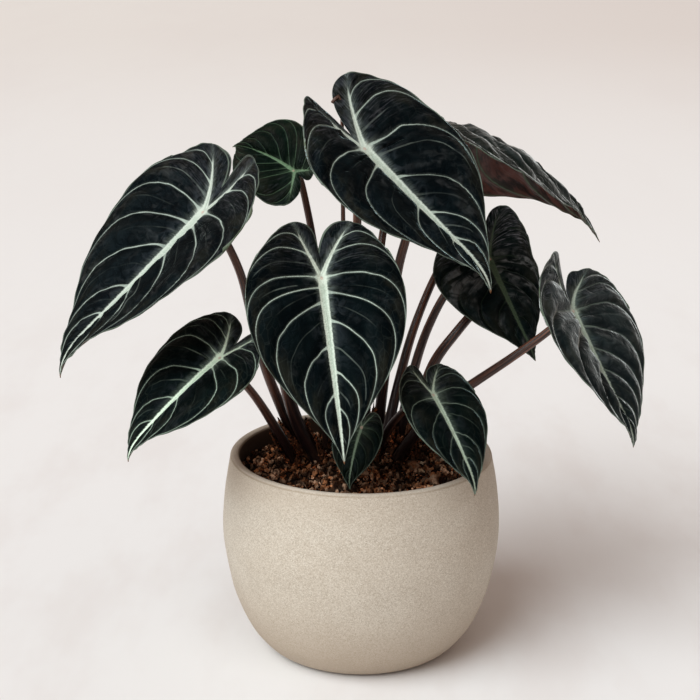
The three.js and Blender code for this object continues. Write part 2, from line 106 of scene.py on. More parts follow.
BLADES = {
    "leaf_left_high": dict(
        at=(-89.8, -38, 278.7), size=126.5, head=-158.8, dip=43, roll=13.8,
        bow=0, back=-0.6, hook=0.95, fold=(0.28, 0.17), curl=(0.02, 0.05), lift=(-0.13, 0), twist=-0.1,
        sweep=0.1, sway=1.6, wide=1, right=1.02,
        lobe=(0.93, 1.08), taper=0.05, notch=1.37,
        green=0, pale=0.9, lines=1, bloom=0.45, nap=0.16, dust_and_highlight=0.1, sheen_streaks=0.25, pucker=1.6,
        mains=((2.1, 2.9, 3.9, 4.9, 6), (2.1, 2.9, 3.8, 4.9, 6))),
    "leaf_back_left": dict(
        at=(-41, 42, 289.2), size=73.5, head=119.5, dip=-12.1, roll=37.4,
        bow=0.02, back=0.88, hook=0.45, fold=(1, 0.59), curl=(0.33, 0.28), lift=(0, -0.34), twist=0.14,
        sweep=-0.3, sway=-0.97, wide=0.93, right=0.94,
        lobe=(1, 1.02), taper=0.34, notch=0.5,
        green=0.6, pale=0.36, lines=0.5, bloom=0.05, nap=0.14, dust_and_highlight=0, sheen_streaks=0.05, pucker=1.5),
    "leaf_top": dict(
        at=(1.5, -2, 309.1), size=114.9, head=-33.9, dip=38, roll=-13.7,
        bow=0, back=0.06, hook=0.95, fold=(0.17, 0.26), curl=(0.33, 0.07), lift=(0.33, 0.1), twist=-0.11,
        sweep=-0.06, sway=-0.09, wide=1.01, right=0.9,
        lobe=(1.18, 1.35), taper=0.13, notch=0.49,
        green=0, pale=0.82, lines=1, bloom=0.6, nap=0.16, dust_and_highlight=0.06, sheen_streaks=0.18, pucker=2.1,
        mains=((1, 2, 3.15, 4.6, 6), (2, 2.85, 3.9, 6))),
    "leaf_back_right": dict(
        at=(48.1, 86, 314.6), size=143.7, head=13.8, dip=13.1, roll=9.4,
        bow=0.8, back=0.35, hook=0.15, fold=(-0.19, -0.66), curl=(0.11, 0.31), lift=(0, 0), twist=-0.38,
        sweep=-0.06, sway=0, wide=0.99, right=1.01,
        lobe=(1, 1), taper=-0.01, notch=1,
        green=0.5, pale=0.5, lines=0.45, bloom=0.7, nap=0.3, dust_and_highlight=0.8, sheen_streaks=0.35, pucker=2,
        mains=((1, 2, 3, 4, 5, 6), (1, 2, 3, 4, 5, 6))),
    "leaf_front": dict(
        at=(-22.7, -66, 247.1), size=104.5, head=-73.4, dip=62.6, roll=-2.1,
        bow=0.3, back=0.29, hook=0.17, fold=(0.39, 0.29), curl=(0.4, 0.3), lift=(0.2, -0.09), twist=-0.4,
        sweep=-0.06, sway=-0.39, wide=1.01, right=1.01,
        lobe=(0.94, 1.01), taper=0.05, notch=1.2,
        green=0.05, pale=1.08, lines=1, bloom=0.22, nap=0.14, dust_and_highlight=0, sheen_streaks=0.08, pucker=1.4,
        mains=((2.2, 3.3, 4.45, 5.4, 6), (1.8, 2.75, 3.88, 4.9, 6))),
    "leaf_left_low": dict(
        at=(-81.2, -50, 196.5), size=81.8, head=-154, dip=34.2, roll=18.5,
        bow=0.34, back=0.14, hook=0.84, fold=(0.27, 0.25), curl=(0.24, 0.33), lift=(0.07, 0.14),
        twist=-0.11, sweep=0.09, sway=0.63, wide=1.01, right=1.02,
        lobe=(0.94, 1.02), taper=0.02, notch=1.1,
        green=0.2, pale=1.5, lines=0.8, bloom=0.3, nap=0.16, dust_and_highlight=0, sheen_streaks=0.1, pucker=1.5,
        mains=((2.1, 3.1, 4.3, 6), (2.1, 3.2, 4.9, 6))),
    "leaf_right_mid": dict(
        at=(78.2, 28, 237.3), size=72.7, head=-64.9, dip=41.4, roll=-23.2,
        bow=0.68, back=0.29, hook=0.95, fold=(0.28, -0.36), curl=(0.31, 0.3), lift=(0.12, 0.3),
        twist=0.33, sweep=-0.15, sway=-0.7, wide=1.12, right=1.05,
        lobe=(1.06, 1.5), taper=0.11, notch=0.9,
        green=0.2, pale=0.05, lines=0.3, bloom=0.06, nap=0.28, dust_and_highlight=0.15, sheen_streaks=1, pucker=2.4,
        mains=((2.2, 3.2, 3.9, 4.8, 6), (2.6, 3.9, 4.7, 6))),
    "leaf_right_far": dict(
        at=(122.2, -30, 219), size=88.6, head=-50.2, dip=53.3, roll=-6.8,
        bow=0.25, back=-0.27, hook=0.95, fold=(0.52, 0.08), curl=(0.19, 0.12), lift=(0.03, 0.03),
        twist=0.03, sweep=-0.3, sway=-1.6, wide=1.01, right=0.97,
        lobe=(1.34, 0.85), taper=0.06, notch=0.85,
        green=0.1, pale=0.55, lines=0.38, bloom=1, nap=0.33, dust_and_highlight=0.75, sheen_streaks=0.25, pucker=2.3,
        mains=((2, 3.1, 4.3, 6), (1.4, 2.2, 3.1, 3.7, 4.6, 6))),
    "leaf_right_low": dict(
        at=(40.5, -58, 176.9), size=63.7, head=-50.7, dip=44.2, roll=-6.2,
        bow=0.34, back=0.21, hook=0.79, fold=(0.29, 0.1), curl=(0.28, 0.23), lift=(0.1, 0.03),
        twist=-0.03, sweep=-0.04, sway=-1.08, wide=0.99, right=0.97,
        lobe=(1.05, 0.91), taper=0.01, notch=1,
        green=0.2, pale=0.75, lines=0.5, bloom=0.3, nap=0.16, dust_and_highlight=0, sheen_streaks=0.1, pucker=1.5,
        mains=((2.2, 3.15, 4.2, 5.8), (2.2, 3.25, 4.75, 6))),
    "leaf_small": dict(
        at=(0.1, -42, 152.3), size=38.6, head=-129.9, dip=58.5, roll=3.8,
        bow=0.52, back=0.35, hook=0.47, fold=(0.28, 0.19), curl=(0.32, 0.32), lift=(0, 0.03), twist=0.11,
        sweep=0.02, sway=-0.02, wide=1, right=1.02,
        lobe=(1, 0.88), taper=-0.02, notch=0.97,
        green=0.35, pale=0.3, lines=0.22, bloom=0.2, nap=0.14, dust_and_highlight=0, pucker=1.4),
    "leaf_rear": dict(at=(16, 58, 271), size=82, head=80, dip=8, roll=0),
    "leaf_rear_right": dict(at=(62.3, 77.3, 243.7), size=75.9, head=62.3, dip=32, roll=0),
    "leaf_rear_far": dict(at=(126.5, 22, 203), size=58, head=20, dip=52, roll=-8),
}

FOOT_Z = 115
STALK_DEPTH = 25
STALK_END = 7  # the last stretch, which runs straight into the blade
STALK_RINGS = 90
STALK_SIDES = 24
SHEATHED_RADIUS = 3.3
# radii at the foot and at the end, place of the foot, and points on the way up
STALKS = {
    "stalk_left_high": ((4, 2.3), (-35, 18), [(-47, 13, 142), (-58, 4, 175), (-65, -9, 210), (-71, -21, 241),
                                              (-80, -30, 264)]),
    "stalk_back_left": ((3.6, 2.1), (-21, 32), [(-24, 36, 180), (-28, 40, 235), (-33, 43, 265)]),
    "stalk_top": ((4.2, 2.4), (-9, 17), [(-8, 12, 180), (-3, 6, 250)]),
    "stalk_back_right": ((4, 2.4), (10, 39), [(16, 33, 175), (22.5, 28, 231), (27, 26, 250), (33, 25, 270),
                                              (39, 36, 290), (45, 62, 304)]),
    "stalk_front": ((5.5, 2.4), (-26, 5), [(-38, -2, 140), (-46, -15, 175), (-45, -34, 212),
                                           (-34, -50, 236)]),
    "stalk_left_low": ((3.9, 2.2), (-41, 3), [(-55, -17, 150), (-67, -32, 174)]),
    "stalk_right_mid": ((4, 2.3), (23, 30), [(33, 29, 167), (42, 30, 195), (54, 33, 217), (68, 36, 230)]),
    "stalk_right_far": ((4.2, 2.3), (21, 5), [(33, 1, 134), (48, -5, 154), (66, -10, 169), (88, -17, 187),
                                              (106, -21, 202)]),
    "stalk_right_low": ((3.3, 1.9), (8, 4), [(15, -9, 138), (27, -32, 161)]),
    "stalk_small": ((2.6, 1.3), (-9, -3), [(-7, -14, 132), (0, -30, 145)]),
    "stalk_rear": ((4, 2.3), (1, 28), [(6, 33, 180), (12, 42, 240)]),
    "stalk_rear_right": ((4, 2.3), (14, 22), [(28, 40, 173), (37, 51, 198), (49, 64, 222)]),
    "stalk_rear_far": ((4.6, 2.3), (31, 17), [(43, 14, 172), (57, 16, 193), (74, 24, 209), (93, 32, 214),
                                              (110, 32, 208)]),
    "stalk_old": ((3.2, 1), (-9, 38), [(-10, 27, 200), (-11, 21, 265), (-11.5, 21, 318), (-12, 20, 332.5),
                                       (-14, 18.8, 337.5), (-17.5, 18.2, 333.5)]),
}

FLOOR_RADIUS = 14000
FLOOR_SIDES = 64

TONE_SEED = 77
RAGGED_GRAIN = 420.0
# strewn over the soil: density per square metre, sizes in metres, the others as shares of the length
STREWN = {
    "bark_crumbs": dict(density=460000.0, length=0.0019, width=0.7, height=0.7, smallest=0.3, ragged=0.9,
                        tilt=3.0, lift=0.0005, seed=11),
    "bark_chips": dict(density=115000.0, length=0.0033, width=0.5, height=0.45, smallest=0.25, ragged=0.9,
                       tilt=2.4, lift=0.0018, seed=23),
    "bark_chunks": dict(density=700.0, length=0.0092, width=0.7, height=0.55, smallest=0.5, ragged=0.8,
                        tilt=0.8, lift=0.0010, seed=29),
    "pale_grit": dict(density=1100.0, length=0.0040, width=0.8, height=0.6, smallest=0.3, ragged=0.9,
                      tilt=3.0, lift=0.0012, seed=37),
    "crown_crumbs": dict(density=260000.0, length=0.0020, width=0.8, height=0.7, smallest=0.3, ragged=0.9,
                         tilt=3.0, lift=0.0, seed=41),
}

# ---------------------------------------------------------------- colours

VELVET_DARK = (0.0007, 0.0018, 0.0026)
VELVET_DARK_GREEN = (0.0018, 0.0060, 0.0026)
VELVET_LIGHT = (0.0022, 0.0050, 0.0060)
VELVET_LIGHT_GREEN = (0.0045, 0.0125, 0.0048)
VELVET_CREST_HIGHLIGHT = (0.021, 0.030, 0.031)
VELVET_SHEEN_STREAK = (0.110, 0.116, 0.118)
VELVET_HAZE = (0.036, 0.045, 0.054)
VELVET_RUST = (0.023, 0.022, 0.014)
VEIN_MINT = (0.64, 0.72, 0.64)
VEIN_SOFT = (0.48, 0.575, 0.51)
VEIN_CORE = (0.46, 0.57, 0.48)
VEIN_FADED = (0.030, 0.050, 0.024)
GREENING = (0.55, 0.15, 0.60)  # what a green blade takes from the red, green and blue of its veins
LOBE_SHEEN = (0.30, 0.30, 0.34)
RIM_GREEN = (0.19, 0.24, 0.19)
TIP_BROWN = (0.20, 0.085, 0.035)
JOINT_PINK = (0.55, 0.36, 0.30)

UNDER_RED = (0.135, 0.047, 0.036)
UNDER_DARK = (0.024, 0.012, 0.010)
UNDER_OLIVE = (0.045, 0.050, 0.030)
UNDER_VEIN = (0.10, 0.15, 0.09)

STALK_DARK = (0.014, 0.005, 0.004)
STALK_RED = (0.185, 0.076, 0.046)
STALK_SPECK = (0.12, 0.075, 0.055)
STALK_FOOT = (0.008, 0.005, 0.007)
STALK_TOP = (0.085, 0.070, 0.045)
STALK_DUST = (0.055, 0.032, 0.020)
SHEATH_DARK = (0.030, 0.012, 0.008)
SHEATH_TAN = (0.20, 0.085, 0.040)

STONE_WARM = (0.556, 0.497, 0.415)
STONE_PALE = (0.622, 0.574, 0.493)
STONE_MOTTLE = (0.43, 0.375, 0.305)
STONE_GRIT = (0.36, 0.31, 0.245)
STONE_SPARK = (0.76, 0.73, 0.655)
STONE_DUST = (0.40, 0.35, 0.28)
STONE_DOT = (0.20, 0.15, 0.105)
STONE_FOOT_SHADE = (0.40, 0.315, 0.235)
STONE_SHOULDER = (0.42, 0.335, 0.25)
STONE_INSIDE_SHADE = (0.085, 0.062, 0.046)
STONE_LINE = (0.30, 0.235, 0.165)
STONE_LIP_TOP = (0.66, 0.60, 0.51)

SOIL_BLACK = (0.005, 0.003, 0.002)
SOIL_BROWN = (0.040, 0.020, 0.012)
SOIL_FLECK = (0.11, 0.055, 0.028)
RUSTY = (0.85, 0.56, 0.38)  # a rusty chip beside a tan one
CHIP_COLOURS = {  # dark, bright, and how rare the bright ones are
    "dark_bark": ((0.006, 0.003, 0.002), (0.900, 0.380, 0.190), 2.8),
    "tan_bark": ((0.014, 0.006, 0.004), (1.0, 0.640, 0.420), 1.3),
    "pale_grit": ((0.50, 0.34, 0.21), (0.85, 0.70, 0.52), 1.7),
}

FLOOR_NEAR = (0.825, 0.830, 0.835)
FLOOR_FAR_LEFT_SHADE = (0.755, 0.730, 0.705)
FLOOR_FAR_RIGHT_SHADE = (0.690, 0.645, 0.620)
FLOOR_PATCH = (0.70, 0.655, 0.64)
SKY = (1, 0.780, 0.665, 1)
DAYLIGHT = (0.935, 0.985, 1)

# ---------------------------------------------------------------- helpers


def smooth(x):
    x = np.clip(x, 0, 1)
    return x * x * (3 - 2 * x)


def random_field(points, grain, seed=0):
    """A smooth random height between -1 and 1; grain is the size of its lumps."""
    q = np.asarray(points, float) / grain + seed * 17.31 + 1000
    cell = np.floor(q).astype(np.int64)
    f = smooth(q - cell)
    total = 0
    for corner in range(8):
        step = np.array([corner & 1, corner >> 1 & 1, corner >> 2 & 1])
        c = cell + step
        h = (c[..., 0] * 73856093) ^ (c[..., 1] * 19349663) ^ (c[..., 2] * 83492791)
        h = (h * 2654435761 + 40503) & 0xFFFFFFFF
        h = ((h ^ (h >> 15)) * 2246822519) & 0xFFFFFFFF
        total = total + (h / 0x80000000 - 1) * np.prod(np.where(step == 1, f, 1 - f), axis=-1)
    return total


def place_in_scene(name, data):
    thing = bpy.data.objects.new(name, data)
    bpy.context.scene.collection.objects.link(thing)
    return thing


def make_mesh(name, points, triangles, materials, which=None, values=None):
    """A mesh object from arrays in millimetres; values are stored per point for the materials."""
    mesh = bpy.data.meshes.new(name)
    points = np.asarray(points, float) * MM
    triangles = np.asarray(triangles, np.int32)
    mesh.vertices.add(len(points))
    mesh.vertices.foreach_set("co", points.ravel())
    mesh.loops.add(triangles.size)
    mesh.loops.foreach_set("vertex_index", triangles.ravel())
    mesh.polygons.add(len(triangles))
    mesh.polygons.foreach_set("loop_start", np.arange(0, triangles.size, 3, dtype=np.int32))
    mesh.polygons.foreach_set("loop_total", np.full(len(triangles), 3, np.int32))
    for m in materials:
        mesh.materials.append(m)
    if which is not None:
        mesh.polygons.foreach_set("material_index", np.asarray(which, np.int32))
    for key, array in (values or {}).items():
        array = np.asarray(array, np.float32)
        if array.ndim == 1:
            mesh.attributes.new(key, "FLOAT", "POINT").data.foreach_set("value", array)
        else:
            mesh.attributes.new(key, "FLOAT_VECTOR", "POINT").data.foreach_set("vector", array.ravel())
    mesh.update(calc_edges=True)
    mesh.validate()
    mesh.polygons.foreach_set("use_smooth", np.ones(len(mesh.polygons), bool))
    return place_in_scene(name, mesh)


def grid_triangles(index):
    """Two triangles for each cell of a grid of point numbers."""
    a, b, c, d = index[:-1, :-1], index[1:, :-1], index[1:, 1:], index[:-1, 1:]
    return np.concatenate([np.stack([a, b, c], -1).reshape(-1, 3), np.stack([a, c, d], -1).reshape(-1, 3)])


def close_round(rings):
    """Triangles between rings of point numbers, each closed on itself, without those of no area."""
    triangles = grid_triangles(np.concatenate([rings, rings[:, :1]], axis=1))[:, ::-1]
    return no_slivers(triangles)


def no_slivers(triangles):
    a, b, c = triangles.T
    return triangles[(a != b) & (b != c) & (a != c)]


def point_normals(points, triangles):
    normal = np.zeros_like(points)
    a, b, c = (points[triangles[:, corner]] for corner in range(3))
    cross = np.cross(b - a, c - a)
    for corner in range(3):
        np.add.at(normal, triangles[:, corner], cross)
    return normal / np.maximum(np.linalg.norm(normal, axis=1, keepdims=True), 1e-9)


def through(rows, x):
    """Smooth curve through the rows of a table."""
    rows = np.asarray(rows, float)
    n = len(rows) - 1
    x = np.clip(np.asarray(x, float), 0, n)
    i = np.minimum(x.astype(int), n - 1)
    f = (x - i)[..., None]
    p1, p2 = rows[i], rows[i + 1]
    p0 = np.where((i == 0)[..., None], 2 * p1 - p2, rows[np.maximum(i - 1, 0)])
    p3 = np.where((i == n - 1)[..., None], 2 * p2 - p1, rows[np.minimum(i + 2, n)])
    return 0.5 * (2 * p1 + (p2 - p0) * f + (2 * p0 - 5 * p1 + 4 * p2 - p3) * f ** 2
                  + (3 * p1 - p0 - 3 * p2 + p3) * f ** 3)


# ---------------------------------------------------------------- paint


CONSTANTS = {"specular": "Specular IOR Level", "specular_tint": "Specular Tint", "sheen": "Sheen Weight",
             "sheen_roughness": "Sheen Roughness", "sheen_tint": "Sheen Tint"}


def plug(tree, socket, value):
    """Links an output to the socket, or sets the socket's own value; a colour may leave its alpha out."""
    if isinstance(value, bpy.types.NodeSocket):
        tree.links.new(value, socket)
    elif socket.type == "RGBA" and len(value) == 3:
        socket.default_value = (*value, 1)
    else:
        socket.default_value = value


def add_node(tree, kind, *sockets, out=0, **settings):
    """One node: sockets is a run of (input, value or link) pairs. Returns the output asked for."""
    node = tree.nodes.new(kind)
    for key, value in settings.items():
        setattr(node, key, value)
    for key, value in sockets:
        plug(tree, node.inputs[key], value)
    return node.outputs[out]


class Paint:
    """A procedural material under construction."""

    def __init__(self, name):
        self.material = bpy.data.materials.new(name)
        self.material.use_nodes = True
        self.tree = self.material.node_tree
        self.shader = self.tree.nodes["Principled BSDF"]

    def add(self, kind, *sockets, **settings):
        return add_node(self.tree, kind, *sockets, **settings)

    def math(self, operation, a, b=0.0):
        return self.add("ShaderNodeMath", (0, a), (1, b), operation=operation)

    def times(self, *factors):
        product = factors[0]
        for factor in factors[1:]:
            product = self.math("MULTIPLY", product, factor)
        return product

    def plus(self, *terms):
        total = terms[0]
        for term in terms[1:]:
            total = self.math("ADD", total, term)
        return total

    def where(self):
        """The point in the object's own coordinates."""
        return self.add("ShaderNodeTexCoord", out=3)

    def axis(self, vector, number):
        return self.add("ShaderNodeSeparateXYZ", (0, vector), out=number)

    def value(self, name):
        return self.add("ShaderNodeAttribute", attribute_name=name, out=2)

    def vector(self, name):
        return self.add("ShaderNodeAttribute", attribute_name=name, out=1)

    def stretch(self, vector, x, y, z):
        return self.add("ShaderNodeVectorMath", (0, vector), (1, (x, y, z)), operation="MULTIPLY")

    def noise(self, vector, scale=1.0, detail=3.0, rough=0.5, warp=0.0):
        return self.add("ShaderNodeTexNoise", ("Vector", vector), ("Scale", scale), ("Detail", detail),
                        ("Roughness", rough), ("Distortion", warp))

    def ramp(self, x, low, high, to_low=0.0, to_high=1.0):
        """x from low..high to to_low..to_high, held at both ends."""
        return self.add("ShaderNodeMapRange", (0, x), (1, low), (2, high), (3, to_low), (4, to_high),
                        interpolation_type="SMOOTHSTEP")

    def blend(self, share, first, second):
        return self.add("ShaderNodeMix", (0, share), (6, first), (7, second), out=2, data_type="RGBA")

    def speckle(self, vector, scale, **settings):
        return self.add("ShaderNodeTexVoronoi", ("Vector", vector), ("Scale", scale), **settings)

    def finish(self, colour, roughness, height=None, distance=0.0, strength=1.0, **constants):
        """Joins the shader; the constants are set on its own sockets."""
        plug(self.tree, self.shader.inputs["Base Color"], colour)
        plug(self.tree, self.shader.inputs["Roughness"], roughness)
        if height is not None:
            bump = self.add("ShaderNodeBump", ("Height", height), ("Distance", distance),
                            ("Strength", strength))
            self.tree.links.new(bump, self.shader.inputs["Normal"])
        for key, value in constants.items():
            self.shader.inputs[CONSTANTS[key]].default_value = value
        return self.material


def vein_borders(p):
    """Distances in mm to the borders of the nearest side vein and of the faint vein between two."""
    parts = p.add("ShaderNodeSeparateXYZ", (0, p.vector("veins")))
    phase, pitch, width = (parts.node.outputs[i] for i in range(3))
    off = p.math("ABSOLUTE", p.math("SUBTRACT", phase, p.math("ROUND", phase)))
    half = p.times(width, 0.5)
    vein = p.math("SUBTRACT", p.times(off, pitch), half)
    between = p.times(p.math("SUBTRACT", 0.5, off), pitch)
    return vein, p.math("SUBTRACT", between, p.times(half, p.value("minor")))


def velvet_paint(name, b):
    """Upper face: near-black velvet, pale feathered veins, painted highlights on swollen fields and painted
    sheen.
    """
    p = Paint(name)
    green, pale, lines, size = (b[key] for key in ("green", "pale", "lines", "size"))
    grain, place = p.vector("grain"), p.vector("place")
    rib, edge = p.value("rib"), p.value("edge")
    vein, minor = vein_borders(p)
    along = p.times(p.axis(place, 1), 1 / size)
    from_joint = p.add("ShaderNodeVectorMath", (0, p.stretch(place, 1, 1, 0)), operation="LENGTH", out=1)
    # patterns: outward and across run along and over the fields, the others lie in patches
    outward = p.noise(p.stretch(grain, 0.18, 1.5, 1), 1, 4, 0.6)
    across = p.noise(p.stretch(grain, 1.6, 0.4, 1), 1, 4, 0.6, 0.2)
    crumple = p.noise(p.stretch(place, 0.17, 0.17, 1), 1, 3, 0.5, 0.9)
    cloud = p.noise(p.stretch(grain, 0.07, 0.07, 1), 1, 4)
    fine = p.noise(grain, 3.0, 3, 0.6)
    wisps = p.noise(p.stretch(place, 0.04, 0.04, 1), 1, 2)
    streaks = p.noise(p.stretch(grain, 0.05, 0.19, 1), 1, 3, 0.5, 0.9)
    shifted = p.add("ShaderNodeVectorMath", (0, p.stretch(grain, 0.16, 0.26, 1)), (1, cloud), operation="ADD")
    cells = p.speckle(shifted, 1.0, feature="DISTANCE_TO_EDGE")
    # veins: a bright core, feathered borders and a dusty glow towards the joint
    rib_edge = p.plus(rib, p.times(p.math("SUBTRACT", outward, 0.5), 1.4))
    vein_edge = p.plus(vein, p.times(p.math("SUBTRACT", across, 0.5), 0.55))
    rib_core = p.ramp(rib_edge, 0.45, -0.45)
    vein_core = p.times(p.ramp(vein_edge, 0.28, -0.20), p.ramp(cloud, 0.30, 0.62, 0.50, 1.0))
    minor_core = p.times(p.ramp(minor, 0.42, -0.05), p.ramp(cloud, 0.40, 0.60, 0.15, 1.0), p.value("minor"))
    base_glow = p.ramp(along, 0.85, 0.0)
    rib_halo = p.times(p.ramp(rib, 3.6, -0.4), base_glow, p.ramp(outward, 0.25, 0.85))
    vein_halo = p.times(p.ramp(vein, 1.1, -0.2), p.ramp(across, 0.35, 0.75, 0.1 * lines, 0.5 * lines))
    joint_halo = p.times(p.ramp(from_joint, 14.0, 2.0), p.ramp(outward, 0.3, 0.7, 0.45, 1.0),
                         p.ramp(p.math("MINIMUM", rib, vein), 2.6, -0.2))
    halo = p.math("MAXIMUM", p.math("MAXIMUM", rib_halo, vein_halo), joint_halo)
    net = p.times(p.ramp(cells, 0.05, 0.0), p.ramp(edge, 22.0, 5.0))
    thin = p.math("MAXIMUM", p.times(net, 0.015), p.times(minor_core, 0.22 * lines))
    thin = p.math("MAXIMUM", thin, p.times(halo, 0.36))
    # the fields
    dark = p.blend(green, VELVET_DARK, VELVET_DARK_GREEN)
    light = p.blend(green, VELVET_LIGHT, VELVET_LIGHT_GREEN)
    field = p.blend(p.ramp(cloud, 0.42, 0.75), dark, light)
    # painted highlight on the crests of the swellings, its share set per blade
    crest_highlight = p.times(p.ramp(p.value("swell"), 0.35, 1.0), p.ramp(crumple, 0.35, 0.65, 0.25, 1.0))
    field = p.blend(p.times(crest_highlight, 0.05 + 0.8 * b["dust_and_highlight"]), field, VELVET_CREST_HIGHLIGHT)
    # painted sheen: pale streaks over the crumpled fields, their share set per blade
    sheen_streaks = p.times(p.ramp(streaks, 0.44, 0.72), p.ramp(crumple, 0.38, 0.64),
                    p.ramp(wisps, 0.40, 0.58, 0.25, 1.0))
    field = p.blend(p.times(sheen_streaks, b["sheen_streaks"]), field, VELVET_SHEEN_STREAK)
    haze = p.times(p.ramp(rib, 11.0, 0.0), base_glow, p.ramp(crumple, 0.40, 0.62))
    field = p.blend(p.times(haze, 0.55 * pale * (1 - green)), field, VELVET_HAZE)
    rust = p.times(p.ramp(edge, 20.0, 2.0), p.ramp(p.noise(grain, 0.10, 4), 0.42, 0.70))
    field = p.blend(p.times(rust, 0.42), field, VELVET_RUST)
    # the veins on them
    mint, soft, core = ([c * (1 - green * share) * pale + faded * (1 - pale)
                         for c, share, faded in zip(tone, GREENING, VEIN_FADED)]
                        for tone in (VEIN_MINT, VEIN_SOFT, VEIN_CORE))
    colour = p.blend(thin, field, soft)
    colour = p.blend(p.times(vein_core, 0.9 * lines), colour, soft)
    middle = p.times(p.ramp(rib_edge, -0.5, -1.3), p.ramp(outward, 0.35, 0.65, 0.9, 0.2))
    colour = p.blend(rib_core, colour, p.blend(middle, mint, core))
    frayed = p.plus(from_joint, p.times(outward, 0.05 * size))
    knot = p.times(p.ramp(frayed, 0.075 * size, 0.045 * size), 0.85 * pale)
    colour = p.blend(knot, colour, mint)
    # painted sheen on the lobes; rim, tip and the spot over the stalk
    lobe_sheen = p.times(p.ramp(along, 0.0, -0.12), p.ramp(outward, 0.48, 0.75))
    colour = p.blend(p.times(lobe_sheen, 0.06 + 0.4 * b["sheen_streaks"]), colour, LOBE_SHEEN)
    rim = p.times(p.ramp(edge, 0.65, 0.2), p.ramp(cloud, 0.3, 0.7, 0.25, 0.65))
    colour = p.blend(rim, colour, RIM_GREEN)
    tip = p.ramp(p.plus(along, p.times(p.math("SUBTRACT", cloud, 0.5), 0.02)), 0.970, 0.988)
    colour = p.blend(tip, colour, TIP_BROWN)
    colour = p.blend(p.times(p.ramp(from_joint, 1.5, 0.5), 0.6), colour, JOINT_PINK)
    rough = p.ramp(p.math("MAXIMUM", rib_core, vein_core), 0, 1, 0.46, 0.42)
    groove = p.times(p.ramp(vein, 0.9, -0.1), p.ramp(rib, 0.3, 1.6, 0.0, -1.1))
    height = p.plus(p.times(crumple, 2.6), p.times(cloud, 1.2), p.times(p.ramp(cells, 0.0, 0.3), 0.15),
                    groove, p.times(fine, 0.10))
    # this blade's share of painted crest highlight, and of gloss
    dust_and_highlight = b["dust_and_highlight"]
    return p.finish(colour, rough, height, 0.0006, 0.7, specular=0.03 + 0.10 * dust_and_highlight,
                    specular_tint=(0.60, 0.86, 1, 1), sheen=b["bloom"], sheen_roughness=b["nap"],
                    sheen_tint=(0.62 + 0.30 * dust_and_highlight, 0.90, 0.93 - 0.05 * dust_and_highlight, 1))


def underside_paint(name):
    """Lower face: reddish brown between green veins."""
    p = Paint(name)
    grain = p.vector("grain")
    rib, vein = p.value("rib"), vein_borders(p)[0]
    cloud = p.noise(p.stretch(grain, 0.06, 0.17, 1), 1, 5, 0.6)
    across = p.noise(p.stretch(grain, 0.3, 0.5, 1), 1, 3)
    lines = p.math("MAXIMUM", p.ramp(rib, 0.6, -0.2), p.ramp(vein, 0.7, -0.3))
    field = p.blend(p.ramp(cloud, 0.42, 0.60), UNDER_RED, UNDER_DARK)
    field = p.blend(p.times(p.ramp(vein, 3.0, 0.2), 0.5), field, UNDER_OLIVE)
    colour = p.blend(lines, field, UNDER_VEIN)
    return p.finish(colour, 0.5, across, 0.0008, 0.6, specular=0.3, sheen=0.1)


# ---------------------------------------------------------------- blades


def rib_line(s):
    """Foot of a vein: 1..0 on the midrib, 0..-1 down the rib of the lobe."""
    s = np.asarray(s, float)[..., None]
    q = np.clip(-s, 0, 1)
    lobe = 2 * (1 - q) * q * np.array(LOBE_BOW) + q * q * MARGIN[APEX]
    return np.where(s >= 0, np.concatenate([0 * s, np.clip(s, 0, 1)], -1), lobe)


def blade_field(k, t):
    """Flat pattern outside the ribs: k from the tip to the end of the lobe, t from rib to edge."""
    row = through(VEINS, k)
    foot = rib_line(np.clip(row[..., 0], -1, 1))
    end = through(MARGIN, np.clip(row[..., 1], 0, APEX))
    leave, arrive = np.radians(row[..., 2]), np.radians(row[..., 3])
    reach = np.linalg.norm(end - foot, axis=-1, keepdims=True)
    p1 = foot + np.stack([np.sin(leave), np.cos(leave)], -1) * reach * 0.4
    p2 = end - np.stack([np.sin(arrive), np.cos(arrive)], -1) * reach * 0.33
    t = np.asarray(t, float)[..., None]
    return (1 - t) ** 3 * foot + 3 * (1 - t) ** 2 * t * p1 + 3 * (1 - t) * t ** 2 * p2 + t ** 3 * end


def blade_inner(j, t, notch):
    """Flat pattern between the rib of the lobe and the notch."""
    i = np.arange(len(MARGIN))
    edge = MARGIN.copy()
    edge[:, 1] += (1 - notch) * NOTCH * np.clip((i - APEX) / 4, 0, 1) ** 1.3
    last = len(MARGIN) - 1
    t = np.asarray(t, float)[..., None]
    return rib_line(-np.asarray(j, float)) * (1 - t) + through(edge, last - (last - APEX) * np.asarray(j)) * t


def blade_frame(b):
    """Unit vectors of a blade: to its right, to its tip and out of its upper face."""
    h, d, r = np.radians([b["head"], b["dip"], b["roll"]])
    tip = np.array([np.cos(h) * np.cos(d), np.sin(h) * np.cos(d), -np.sin(d)])
    up = np.array([np.cos(h) * np.sin(d), np.sin(h) * np.sin(d), np.cos(d)])
    lateral = np.cross(tip, up)
    return lateral * np.cos(r) + up * np.sin(r), tip, -lateral * np.sin(r) + up * np.cos(r)


